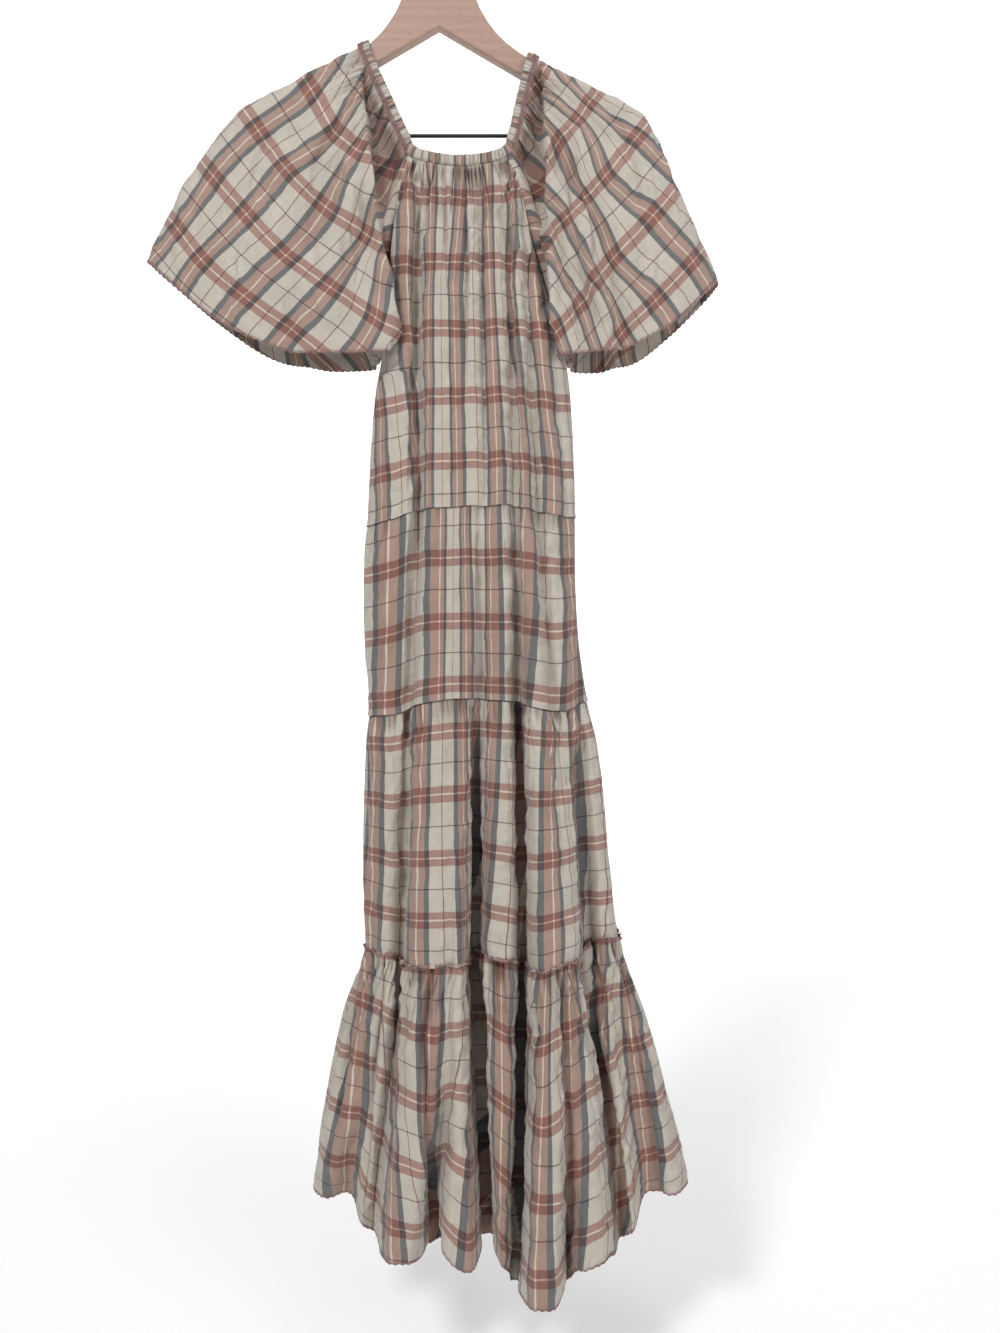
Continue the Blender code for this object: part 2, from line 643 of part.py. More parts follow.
def dress(finish, group):
    tiers = (
        ("bodice", "neck", "waist", 7, NECK_GATHERS),
        ("upper_tier", "waist", "hip", 4, WAIST_GATHERS),
        ("middle_tier", "hip", "knee", 5, HIP_GATHERS),
        ("flounce", "knee", "hem", 7, KNEE_GATHERS),
    )
    for name, top, bottom, rows, gather in tiers:
        for side, word in ((FRONT, "front"), (BACK, "back")):
            points, normals = body_panel(top, bottom, side, rows, gather)
            skin_wall(f"{name}_{word}", points, normals, finish, group)
    for name, table in (("sleeve_left", LEFT_SLEEVE), ("sleeve_right", RIGHT_SLEEVE)):
        points, normals = sleeve_panel(table, SLEEVE_ROWS, SLEEVE_COLUMNS, SLEEVE_GATHERS)
        skin_wall(name, points, normals, finish, group)


def main():
    clear_scene()
    group = collection("plaid_midi_dress")
    cutters = collection("cutters")
    finishes = {name: material(name) for name in COLOURS}
    dress(finishes["plaid_cotton"], group)
    neck_casing(finishes["casing_cotton"], group)
    hanger_wood(finishes["beech"], group, cutters)
    hanger_bar(finishes["black_sleeve"], group)
    hanger_hook(finishes["steel_wire"], group)


main()
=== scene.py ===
# %% [markdown]
# # A tiered plaid dress on a wooden hanger
# The dress is cut from one light cotton with a woven plaid: a bodice, three tiers, two sleeves.
# It could be draped by a cloth simulation, but then its folds would not be the photo's own.
# So each panel is a fine grid of points that follows the solid model of the same panel, with
# small gathers, creases and the plaid added on top.

import math
from collections import namedtuple

import bpy
import numpy as np
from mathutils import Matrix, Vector


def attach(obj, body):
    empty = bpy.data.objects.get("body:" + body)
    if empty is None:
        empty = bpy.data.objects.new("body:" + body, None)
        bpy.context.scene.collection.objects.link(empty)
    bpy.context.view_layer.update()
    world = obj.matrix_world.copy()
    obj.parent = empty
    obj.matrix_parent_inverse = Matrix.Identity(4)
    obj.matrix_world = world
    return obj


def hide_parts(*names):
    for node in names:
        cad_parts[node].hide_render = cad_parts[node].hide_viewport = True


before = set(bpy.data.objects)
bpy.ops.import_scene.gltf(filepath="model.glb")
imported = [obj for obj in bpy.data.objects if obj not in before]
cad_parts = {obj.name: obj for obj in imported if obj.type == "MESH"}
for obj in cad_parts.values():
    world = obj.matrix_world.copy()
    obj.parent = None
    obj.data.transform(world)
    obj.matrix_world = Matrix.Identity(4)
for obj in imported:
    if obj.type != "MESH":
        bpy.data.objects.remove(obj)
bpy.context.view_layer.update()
print("nodes in the solid model:", len(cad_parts))

# %% [markdown]
# ## Units and directions
# The tables hold millimetres. x runs to the viewer's right from the hanger's middle.
# out runs towards the viewer, and drop runs down from the inside top of the hook.

# %% Units
MM = 0.001
FRONT, BACK = 1, -1


def to_space(x, out, drop):
    """Points in metres from x, out and drop in millimetres."""
    return np.stack([x, -out, -drop], axis=-1) * MM


def add_object(name, data):
    made = bpy.data.objects.new(name, data)
    bpy.context.scene.collection.objects.link(made)
    return made


# %% [markdown]
# ## Camera
# The photo was taken straight on, level with the dress's middle. The camera stands a little over
# a metre away, and its lens is worked out so that one millimetre at the hanger fills one pixel.

# %% Camera
VIEW_X, VIEW_DROP, VIEW_AWAY = 61, 752.5, 1050
PICTURE_HEIGHT = 1333
SENSOR = 36

lens = bpy.data.cameras.new("camera")
lens.sensor_width = SENSOR
lens.lens = SENSOR * VIEW_AWAY / PICTURE_HEIGHT
camera = add_object("camera", lens)
camera.location = (VIEW_X * MM, -VIEW_AWAY * MM, -VIEW_DROP * MM)
camera.rotation_euler = (math.pi / 2, 0, 0)
bpy.context.scene.camera = camera
bpy.context.scene.view_settings.view_transform = "Standard"
print("focal length in mm:", round(lens.lens, 1))

# %% [markdown]
# ## Helpers for materials
# A material is a tree of nodes, which is mostly built by hand in Blender's shader editor. Here
# each helper makes one node and gives its inputs values or links, so a material reads as a recipe.

# %% Node helpers
def set_inputs(tree, made, inputs):
    """Give a node's inputs their values, or link them to other nodes."""
    for key, value in dict(inputs).items():
        if isinstance(value, bpy.types.NodeSocket):
            tree.links.new(value, made.inputs[key])
        else:
            made.inputs[key].default_value = value


def node(tree, kind, inputs=(), **settings):
    made = tree.nodes.new(kind)
    for key, value in settings.items():
        setattr(made, key, value)
    set_inputs(tree, made, inputs)
    return made


def calculate(tree, operation, *values):
    return node(tree, "ShaderNodeMath", enumerate(values), operation=operation).outputs[0]


def scaled(tree, value, factor, offset):
    return calculate(tree, "MULTIPLY_ADD", value, factor, offset)


def noise(tree, place, scale, detail):
    inputs = {"Vector": place, "Scale": scale, "Detail": detail}
    return node(tree, "ShaderNodeTexNoise", inputs).outputs[0]


def stretched(tree, place, scale):
    return node(tree, "ShaderNodeMapping", {"Vector": place, "Scale": scale}).outputs[0]


def object_place(tree):
    return node(tree, "ShaderNodeTexCoord").outputs["Object"]


def mixed(tree, first, second, share=1.0, blend="MULTIPLY"):
    """Two colours blended as far as share says."""
    inputs = {"Factor": share, "A": first, "B": second}
    return node(tree, "ShaderNodeMix", inputs, data_type="RGBA", blend_type=blend).outputs["Result"]


def ramp(tree, share, low, high, ends=(0.0, 1.0)):
    """A colour that runs from low to high while share runs between its ends."""
    made = node(tree, "ShaderNodeValToRGB", {"Fac": share})
    for stop, colour, end in zip(made.color_ramp.elements, (low, high), ends):
        stop.color, stop.position = (*colour, 1), end
    return made.outputs["Color"]


def bump(tree, height, strength, distance):
    inputs = {"Height": height, "Strength": strength, "Distance": distance}
    return node(tree, "ShaderNodeBump", inputs).outputs[0]


def new_material(name):
    """A new material with its tree and its shader."""
    made = bpy.data.materials.new(name)
    made.use_nodes = True
    return made, made.node_tree, made.node_tree.nodes["Principled BSDF"]


# %% [markdown]
# ## Backdrop
# A studio hangs a wide roll of pale paper that runs along the floor and curves up behind the
# object, so no corner shows. A flat floor and a wall would meet in a line. The far part glows,
# as paper with its own lights does, which keeps the picture's background white.

# %% Backdrop
FLOOR_DROP = 1440
BACKDROP_FRONT, BACKDROP_BACK = -4200, 3400
BACKDROP_BEND, BACKDROP_TOP, BACKDROP_HALF = 900, 4200, 4600
BEND_DEGREES = np.arange(0, 91, 6)
Glow = namedtuple("Glow", "y strength")
GLOW_NEAR, GLOW_FAR = Glow(-0.5, 0.16), Glow(2.6, 0.72)
PAPER_GREY, PAPER_ROUGHNESS, WHITE = (0.86, 0.86, 0.86, 1), 0.9, (1, 1, 1, 1)


def backdrop_paper():
    paper, tree, shader = new_material("backdrop_paper")
    depth = node(tree, "ShaderNodeSeparateXYZ", {0: object_place(tree)}).outputs["Y"]
    glow = node(tree, "ShaderNodeMapRange", {"Value": depth})
    for end, at in (("Min", GLOW_NEAR), ("Max", GLOW_FAR)):
        set_inputs(tree, glow, {"From " + end: at.y, "To " + end: at.strength})
    inputs = {"Base Color": PAPER_GREY, "Roughness": PAPER_ROUGHNESS, "Emission Color": WHITE}
    set_inputs(tree, shader, {**inputs, "Emission Strength": glow.outputs["Result"]})
    return paper


def pale_backdrop():
    """A strip along a side view of the floor, a quarter turn and the wall."""
    turns = np.radians(BEND_DEGREES)
    back = BACKDROP_BACK - BACKDROP_BEND * (1 - np.sin(turns))
    up = BACKDROP_BEND * (1 - np.cos(turns)) - FLOOR_DROP
    profile = [(BACKDROP_FRONT, -FLOOR_DROP), *zip(back, up), (BACKDROP_BACK, BACKDROP_TOP)]
    corners = [(x * MM, y * MM, z * MM) for x in (-BACKDROP_HALF, BACKDROP_HALF) for y, z in profile]
    count = len(profile)
    quads = [(i, i + count, i + count + 1, i + 1) for i in range(count - 1)]
    mesh = bpy.data.meshes.new("backdrop")
    mesh.from_pydata(corners, [], quads)
    mesh.shade_smooth()
    mesh.materials.append(backdrop_paper())
    add_object("backdrop", mesh)


pale_backdrop()
print("floor in mm below the hook:", FLOOR_DROP)

# %% [markdown]
# ## Lights
# The photo is softly lit, mostly from high at the left. Large round lamps give soft shadows
# like that: a key lamp at the front left, and weaker ones that fill from the right and above.

# %% Lights
Lamp = namedtuple("Lamp", "name x out drop size power")
LAMPS = (
    Lamp("key", -1300, 2400, -1500, 700, 66),
    Lamp("fill", 1500, 1900, 100, 1400, 20),
    Lamp("top", 500, 500, -1500, 1000, 7),
)
LAMP_TARGET = Vector((0.03, 0, -0.65))
WORLD_COLOUR, WORLD_STRENGTH = (0.95, 0.97, 1.0, 1), 0.19


def soft_light(lamp):
    light = bpy.data.lights.new(lamp.name, "AREA")
    light.shape, light.size, light.energy = "DISK", lamp.size * MM, lamp.power
    stand = add_object(lamp.name, light)
    stand.location = to_space(lamp.x, lamp.out, lamp.drop)
    stand.rotation_euler = (LAMP_TARGET - stand.location).to_track_quat("-Z", "Y").to_euler()


for lamp in LAMPS:
    soft_light(lamp)
world = bpy.data.worlds.new("room")
world.use_nodes = True
room_light = {"Color": WORLD_COLOUR, "Strength": WORLD_STRENGTH}
set_inputs(world.node_tree, world.node_tree.nodes["Background"], room_light)
bpy.context.scene.world = world
print("lights:", len(LAMPS))

# %% [markdown]
# ## The shape of the dress
# The dress hangs in a soft shape that no simple solid has. It was measured in the photo at some
# heights, and these tables are the solid model's own. Each row holds the outline at one height.

# %% Tables of the neck and the body
def table(kind, *rows):
    return tuple(kind(*row) for row in rows)


NeckRow = namedtuple("NeckRow", "x out drop lean")
NECK = table(
    NeckRow,
    (-79, 0, 134, -60), (-78.6, 6, 136, -60), (-77.8, 9.5, 141, -61), (-71, 16, 161, -63),
    (-52, 22, 205, -62), (-37, 25, 238, -58), (-28, 25.5, 254, -30), (-12, 26, 260, -6),
    (22, 27, 265, 0), (56, 26, 260, 6), (72, 25.5, 252, 34), (79, 25, 236, 66), (86, 22, 205, 74),
    (93, 16, 172, 72), (96.8, 9.5, 153, 62), (97.6, 6, 148, 59), (98, 0, 146, 58),
)
LEFT_CORNER, RIGHT_CORNER = 6, 10

BodyRow = namedtuple("BodyRow", "drop left left_out right right_out front back")
BODY = table(
    BodyRow,
    (252, -28, 25.5, 72, 25.5, 27, 27), (290, -38, 25, 82, 25, 33, 30),
    (336, -45, 17, 93, 18, 35, 31), (384, -50, 0, 108, 0, 36, 32), (431, -54, 0, 123, 0, 37, 34),
    (486, -63, 0, 131, 0, 38, 36), (540, -68, 0, 134, 0, 40, 38), (606, -71, 0, 136, 0, 42, 42),
    (650, -74, 0, 136, 0, 44, 46), (706, -75, 0, 138, 0, 46, 48), (792, -70, 0, 149, 0, 46, 52),
    (830, -73, 0, 158, 0, 48, 56), (946, -76, 0, 170, 0, 50, 60), (1034, -73, 0, 181, 0, 50, 60),
    (1062, -82, 0, 191, 0, 54, 66), (1096, -94, 0, 203, 0, 60, 74), (1166, -109, 0, 224, 0, 72, 86),
    (1216, -117, 0, 238, 0, 80, 92), (1290, -125, 0, 252, 0, 88, 98),
    (1340, -128, 0, 258, 0, 90, 100),
)
SIDE_ROUNDNESS = 2.5
SeamRow = namedtuple("SeamRow", "across waist hip knee hem")
SEAMS = table(
    SeamRow,
    (0.00, 613, 802, 1034, 1268), (0.05, 614, 801, 1030, 1262), (0.10, 613, 800, 1031, 1263),
    (0.14, 611, 799, 1038, 1288), (0.17, 609, 797, 1040, 1301), (0.22, 603, 792, 1037, 1297),
    (0.27, 600, 788, 1036, 1310), (0.32, 600, 785, 1037, 1284), (0.37, 600, 783, 1038, 1304),
    (0.43, 599, 783, 1036, 1302), (0.49, 598, 784, 1029, 1300), (0.55, 598, 785, 1034, 1338),
    (0.60, 596, 786, 1043, 1328), (0.67, 598, 788, 1044, 1329), (0.72, 601, 790, 1040, 1302),
    (0.76, 602, 793, 1034, 1294), (0.81, 603, 795, 1030, 1308), (0.85, 605, 795, 1027, 1290),
    (0.90, 606, 791, 1023, 1262), (0.95, 605, 787, 1021, 1257), (1.00, 603, 786, 1023, 1262),
)
print("rows of the neck, body and seams:", len(NECK), len(BODY), len(SEAMS))

# %% [markdown]
# The body's broad folds are bells: how far across, how deep and how wide at five heights.
# A sleeve's rows run from the neck to its hem, with the arm's fold line and the inner line.

# %% Tables of the folds and the sleeves
FOLD_DROPS = (300, 600, 790, 1048, 1320)
Fold = namedtuple("Fold", "name sharpness x out half")
FRONT_FOLDS = (
    Fold("left side pleat", 2, (-40, -52, -50, -52, -98), (0, 2, 5, 6, -36), (8, 9, 9, 9, 24)),
    Fold("left valley", 2, (-22, -18, -28, -36, -62), (-8, -15, -10, -15, -24), (7, 8, 8, 9, 14)),
    Fold("left panel", 4, (8, 14, 4, -2, -34), (2, 2, 6, 17, 10), (24, 34, 26, 27, 17)),
    Fold("panel dip", 2, (22, 20, 18, 14, -9), (-4, -3, -2, -4, -38), (11, 12, 12, 9, 11)),
    Fold("middle panel", 4, (30, 34, 28, 26, 28), (2, 1, 2, 6, 6), (12, 14, 12, 9, 17)),
    Fold("first deep valley", 2, (40, 46, 42, 37, 50), (-4, -4, -12, -40, -44), (7, 8, 9, 10, 10)),
    Fold("second deep valley", 2, (68, 76, 79, 84, 76), (-5, -11, -22, -28, -36), (7, 7, 9, 10, 9)),
    Fold("right panel", 4, (74, 85, 94, 112, 98), (5, 8, 13, 22, 22), (8, 10, 16, 23, 22)),
    Fold("right panel slit", 2, (84, 97, 112, 124, 124), (-4, -7, -6, -4, -22), (6, 7, 7, 7, 9)),
    Fold("right side panel", 4, (96, 112, 124, 130, 147), (0, 4, 4, 4, 16), (9, 11, 12, 10, 19)),
    Fold("third deep valley", 2, (102, 127, 140, 152, 178), (0, -5, -8, -22, -34), (6, 7, 8, 10, 11)),
    Fold("right corner", 2, (104, 131, 145, 172, 212), (0, 1, 3, -8, -36), (6, 6, 6, 12, 26)),
)
BACK_DEPTH, SIDE_FADE = 0.5, 1.5
# The solid model's valleys are rounded off for its wall's thickness. The cloth's are closer.
VALLEY_DEPTH, VALLEY_HALF = 1.2, 0.78

SleeveRow = namedtuple(
    "SleeveRow", "down top_x top_drop inner_x inner_drop inner_out hump sag overhang"
)
LEFT_SLEEVE = table(
    SleeveRow,
    (0.00, -79, 134, -29, 254, 25.5, 4, 0, 0), (0.20, -139, 168, -39, 290, 25, 17, 8, 0),
    (0.40, -201, 206, -47, 337, 17, 25, 16, 0), (0.60, -238, 254, -55, 386, 0, 32, 23, -5),
    (0.80, -267, 302, -60, 420, 0, 36, 29, -14), (1.00, -289, 349, -64, 447, 0, 36, 32, -24),
)
RIGHT_SLEEVE = table(
    SleeveRow,
    (0.00, 98, 146, 73, 252, 25.5, 4, 0, 0), (0.20, 150, 175, 84, 290, 25, 17, 7, 0),
    (0.40, 204, 208, 95, 337, 18, 25, 12, 0), (0.60, 229, 258, 112, 386, 0, 32, 16, 3),
    (0.80, 254, 315, 125, 420, 0, 36, 20, 8), (1.00, 278, 371, 131, 450, 0, 36, 22, 14),
)
SLEEVE_ARM_HALF = 9.5
SLEEVE_INNER_ROUND, SLEEVE_INNER_CORNER = 18, 2.5
SLEEVE_FULLNESS, SLEEVE_SAG = 0.4, 1.2
OVERHANG_FROM, OVERHANG_REACH = 0.02, 0.22
RAGLAN_OUT, FOLDS_FULL_BY = 20, 0.35
SleeveFold = namedtuple("SleeveFold", "at_neck at_hem half depth_neck depth_hem")
SLEEVE_FOLDS = table(
    SleeveFold,
    (0.16, 0.10, 0.060, -7, -3), (0.32, 0.20, 0.080, 7, 5), (0.46, 0.33, 0.055, -5, -6),
    (0.60, 0.50, 0.090, 3, 5), (0.74, 0.68, 0.070, -3, -4),
)
CASING_WIDTH = 10.5
CASING_THICKNESS = 2.6
CASING_GAP = 0.4
print("broad folds:", len(FRONT_FOLDS))

# %% [markdown]
# ## Reading the tables
# Straight lines between the rows would leave kinks, and a common spline can bulge between them.
# A monotone cubic runs smoothly through each column and never overshoots it.

# %% Curves through the tables
NECK_SAMPLES = 300


def smooth_through(knots, values, at):
    """A curve through the values that never overshoots them (a monotone cubic)."""
    knots, values, at = (np.asarray(a, float) for a in (knots, values, at))
    step = np.diff(knots)
    slope = np.diff(values) / step
    before, after = slope[:-1], slope[1:]
    same_way = before * after > 0
    weight_a, weight_b = 2 * step[1:] + step[:-1], step[1:] + 2 * step[:-1]
    safe_before = np.where(same_way, before, 1.0)
    safe_after = np.where(same_way, after, 1.0)
    mean = (weight_a + weight_b) / (weight_a / safe_before + weight_b / safe_after)
    tangent = np.concatenate([[slope[0]], np.where(same_way, mean, 0.0), [slope[-1]]])
    at = np.clip(at, knots[0], knots[-1])
    i = np.clip(np.searchsorted(knots, at) - 1, 0, len(step) - 1)
    t = (at - knots[i]) / step[i]
    return (
        values[i] * (1 + 2 * t) * (1 - t) ** 2
        + tangent[i] * step[i] * t * (1 - t) ** 2
        + values[i + 1] * t * t * (3 - 2 * t)
        + tangent[i + 1] * step[i] * t * t * (t - 1)
    )


def column(table, field, at):
    """One column of a table, read at any value of the table's first column."""
    return smooth_through([row[0] for row in table], [getattr(row, field) for row in table], at)


def ease(t):
    t = np.clip(t, 0, 1)
    return t * t * (3 - 2 * t)


def quarter_round(t):
    return np.sqrt(1 - (1 - np.clip(t, 0, 1)) ** 2)


def along_line(line):
    """Distance along a line of points."""
    return np.concatenate([[0], np.cumsum(np.linalg.norm(np.diff(line, axis=0), axis=1))])


def spread_evenly(line, shares):
    """Points of a dense line at these shares of its length."""
    along = along_line(line)
    at = np.asarray(shares) * along[-1]
    return np.stack([np.interp(at, along, line[:, k]) for k in range(line.shape[1])], axis=1)


def neck_line(first, last, shares):
    """x, out and drop of the neck seam between two rows of its table, and the casing's lean."""
    rows = np.array(NECK)
    chord = along_line(rows[:, :3])
    at = np.linspace(chord[first], chord[last], NECK_SAMPLES)
    fine = np.stack([smooth_through(chord, rows[:, k], at) for k in range(4)], axis=1)
    along = along_line(fine[:, :3])
    return np.stack([np.interp(shares * along[-1], along, fine[:, k]) for k in range(4)], axis=1)


def casing_width_direction(lean):
    """Unit vectors along the casing's width, from its free edge to the neck seam."""
    turn = np.radians(lean)
    return np.stack([np.sin(turn), 0 * turn, -np.cos(turn)], axis=1)


# %% [markdown]
# ## Smooth surfaces
# The body is a closed round at each height, and a sleeve is a row of ribs over the hanger's arm.
# Points are spread evenly along the cloth, as they lie in the weave, so nothing is stretched.

# %% Surfaces of the body and the sleeves
LINE_SAMPLES = 900
LEVEL_STEP = 2
RIB_SAMPLES = 400


def body_line(drop, side):
    """A dense line of x and out round the front or the back of the body at one drop."""
    left, left_out, right, right_out = (
        float(column(BODY, field, drop)) for field in ("left", "left_out", "right", "right_out")
    )
    bulge = float(column(BODY, "front" if side == FRONT else "back", drop))
    t = (1 - np.cos(np.linspace(0, math.pi, LINE_SAMPLES))) / 2
    x = left + (right - left) * t
    cap = (1 - np.abs(2 * t - 1) ** SIDE_ROUNDNESS) ** (1 / SIDE_ROUNDNESS)
    seam_out = left_out + (right_out - left_out) * t
    met_at = x if side == FRONT else left + right - x
    lift = np.zeros_like(x)
    for fold in FRONT_FOLDS:
        centre, depth, half = (
            float(smooth_through(FOLD_DROPS, values, drop))
            for values in (fold.x, fold.out, fold.half)
        )
        if depth < 0:
            depth, half = depth * VALLEY_DEPTH, half * VALLEY_HALF
        lift += depth * np.exp(-(np.abs((met_at - centre) / half) ** fold.sharpness))
    lift *= 1 if side == FRONT else BACK_DEPTH
    out = seam_out + (bulge - seam_out) * cap + lift * np.clip(SIDE_FADE * cap, 0, 1) ** 2
    return np.stack([x, out * side], axis=1)


def body_surface(upper, lower, side, shares, downs):
    """x, out and drop of a grid between two seams, one row of points for each of downs."""
    levels = np.arange(upper.min() - LEVEL_STEP, lower.max() + 2 * LEVEL_STEP, LEVEL_STEP)
    lines = np.array([spread_evenly(body_line(level, side), shares) for level in levels])
    drops = upper + (lower - upper) * downs[:, None]
    x, out = (
        np.stack([np.interp(drops[:, j], levels, lines[:, j, k]) for j in range(len(shares))], axis=1)
        for k in range(2)
    )
    return np.stack([x, out, drops], axis=2)


def sleeve_rib(table, down, side, shares):
    """One rib of a sleeve's front or back, from its inner line to the fold over the arm."""
    row = SleeveRow(down, *(column(table, field, down) for field in SleeveRow._fields[1:]))
    a = (1 - np.cos(np.linspace(0, math.pi, RIB_SAMPLES))) / 2
    across, fall = row.top_x - row.inner_x, row.top_drop - row.inner_drop
    length = math.hypot(across, fall)
    swing = np.sin(math.pi * np.clip((a - OVERHANG_FROM) / OVERHANG_REACH, 0, 1)) ** 2
    x = row.inner_x + across * a - row.overhang * swing
    drop = row.inner_drop + fall * a + row.sag * np.sin(math.pi * a) ** SLEEVE_SAG
    out = SLEEVE_ARM_HALF + row.hump * (4 * a * (1 - a)) ** SLEEVE_FULLNESS
    for fold in SLEEVE_FOLDS:
        at = fold.at_neck + (fold.at_hem - fold.at_neck) * down
        depth = fold.depth_neck + (fold.depth_hem - fold.depth_neck) * down
        out += depth * np.exp(-(((a - at) / fold.half) ** 2)) * ease(down / FOLDS_FULL_BY)
    closed = (1 - np.clip(1 - a * length / SLEEVE_INNER_ROUND, 0, 1) ** 2) ** (1 / SLEEVE_INNER_CORNER)
    shut = 1 - np.clip(row.inner_out / RAGLAN_OUT, 0, 1)
    raglan = (row.inner_out - SLEEVE_ARM_HALF) * (1 - a) ** 3
    out = out * shut * closed + (out + raglan) * (1 - shut)
    out *= quarter_round((1 - a) * length / SLEEVE_ARM_HALF)
    return spread_evenly(np.stack([x, out * side, drop], axis=1), shares)


# %% [markdown]
# ## Gathers and creases
# Cloth that is sewn on gathered stands in sharp little waves that run down and merge. They could
# be sculpted one by one. Noise that is stretched along the threads makes them all at once, with
# a valley where it crosses zero. Three rounder noises add creases. A wave's two numbers are its
# cell across and along.

# %% Noise on the cloth
Gather = namedtuple("Gather", "fine fine_reach broad broad_reach")
Crease = namedtuple("Crease", "size depth")
CREASES = (Crease(40, 1.3), Crease(20, 1.0), Crease(9, 0.55))
CREASE_LEAN, CREASE_LENGTH = 0.5, 1.3
SHIRR_WAVE, FINE_WAVE, BROAD_WAVE, WANDER_WAVE = (3.6, 45), (4.6, 60), (9.0, 110), (30, 50)
SHIRR_SHARPNESS, BROAD_SHARPNESS = 2.6, 4.0
FINE_SHARE, BROAD_SHARE, BROAD_VALLEY, WANDER = 0.5, 0.7, 0.6, 4
SEAM_HOLD, HEM_HOLD, CREASE_FREE, SIDE_HOLD = 3.0, 6, 25, 2
SEAM_DIP, SEAM_DIP_REACH = 0.9, 2.5
# Painted shade: the cloth is darkened in the gathers' valleys, fully at this depth in mm, and less over
# this reach below a panel's top.
PAINTED_SHADE_ATTRIBUTE, FULL_SHADE_DEPTH, PAINTED_SHADE_REACH = "painted_shade", 4.5, 55


def cloth_noise(u, v, cell_u, cell_v, seed):
    """Smooth noise from -1 to 1, in cells of this many millimetres along u and v."""
    a, b = u / cell_u, v / cell_v
    a, b = a - a.min(), b - b.min()
    grid = np.random.default_rng(seed).uniform(-1, 1, (int(b.max()) + 3, int(a.max()) + 3))
    i, j = b.astype(int), a.astype(int)
    s, t = ease(b - i), ease(a - j)
    top = grid[i, j] * (1 - t) + grid[i, j + 1] * t
    bottom = grid[i + 1, j] * (1 - t) + grid[i + 1, j + 1] * t
    return top * (1 - s) + bottom * s


def creased(waves, sharpness):
    """1 along the lines where the waves are zero, and nothing a little away from them."""
    return np.clip(1 - sharpness * np.abs(waves), 0, 1)


def bell(distance, half):
    return np.exp(-((distance / half) ** 2))


def along_grid(points, axis):
    """Distance along each line of a grid of points, from its first row or column."""
    steps = np.linalg.norm(np.diff(points, axis=axis), axis=2)
    widths = [(1, 0) if k == axis else (0, 0) for k in range(2)]
    return np.pad(np.cumsum(steps, axis=axis), widths)


Distances = namedtuple("Distances", "top bottom left sides left_at_top left_at_bottom")


def distances(points):
    """How far each point of a grid is from its edges, in mm along the cloth."""
    top, left = along_grid(points / MM, 0), along_grid(points / MM, 1)
    sides = np.minimum(left, left[:, -1:] - left)
    at_edges = (np.broadcast_to(left[row], left.shape) for row in (0, -1))
    return Distances(top, top[-1:] - top, left, sides, *at_edges)


def relief(u, away, gather, seed):
    """How far the cloth stands off its smooth shape, in mm, where it is so far from its edges."""
    v, seam_u = away.top, away.left_at_top
    shirr = creased(cloth_noise(seam_u, v, *SHIRR_WAVE, seed + 9), SHIRR_SHARPNESS)
    fine = (FINE_SHARE * cloth_noise(seam_u, v, *FINE_WAVE, seed) - shirr) * gather.fine
    wander = cloth_noise(seam_u, v, *WANDER_WAVE, seed + 1) * WANDER
    waves = cloth_noise(seam_u + wander, v, *BROAD_WAVE, seed + 2)
    broad = (BROAD_SHARE * waves - BROAD_VALLEY * creased(waves, BROAD_SHARPNESS)) * gather.broad
    gathers = fine * np.exp(-v / gather.fine_reach) + broad * np.exp(-v / gather.broad_reach)
    crease = 0
    for k, (size, depth) in enumerate(CREASES):
        bumps = cloth_noise(u + CREASE_LEAN * v, v, size, size * CREASE_LENGTH, seed + 3 + k)
        crease = crease + depth * (1 - 2 * np.abs(bumps))
    free = ease(v / CREASE_FREE) * ease(away.sides / CREASE_FREE)
    lift = gathers * (1 - np.exp(-v / SEAM_HOLD)) + crease * free * (1 - np.exp(-away.bottom / HEM_HOLD))
    return (lift - SEAM_DIP * bell(away.sides, SEAM_DIP_REACH)) * ease(away.sides / SIDE_HOLD)


def cloth_map(u, v, lift, from_top):
    """The weave's u and v in metres, and how much painted shade each point gets, from 0 to 1, by how deep
    in a gather it lies.
    """
    painted_shade = np.clip(-lift / FULL_SHADE_DEPTH, 0, 1) * np.exp(-from_top / PAINTED_SHADE_REACH)
    return np.stack([u * MM, v * MM, painted_shade], axis=2)


# %% [markdown]
# ## Turning a grid of points into cloth
# Light cotton is far thinner than its folds, so each panel is one sheet without a thickness.
# Its UV map holds metres of cloth, so the plaid bends with the folds as woven threads do.
# A hem's shell edge is a row of small scallops. A seam's margin goes on under the next panel.

# %% Cloth sheets
SCALLOP, SCALLOP_DEPTH, SCALLOP_REACH = 6.5, 1.4, 4.0
SEAM_MARGIN, SEAM_UNDER, SEAM_STEPS_IN = {"top": 2.0, "left": 5.0, "right": 5.0}, 0.8, 4


def surface_normals(points, facing):
    normal = np.cross(np.gradient(points, axis=1), np.gradient(points, axis=0)) * facing
    return normal / np.maximum(np.linalg.norm(normal, axis=2, keepdims=True), 1e-12)


def lifted(points, normals, lift):
    return points + normals * (lift * MM)[..., None]


def scalloped(points, wave_at, from_edge):
    """The points with small waves along their last row."""
    down = np.gradient(points, axis=0)
    down /= np.linalg.norm(down, axis=2, keepdims=True)
    waves = np.abs(np.sin(math.pi * wave_at / SCALLOP)) * np.exp(-from_edge / SCALLOP_REACH)
    return lifted(points, down, waves * SCALLOP_DEPTH)


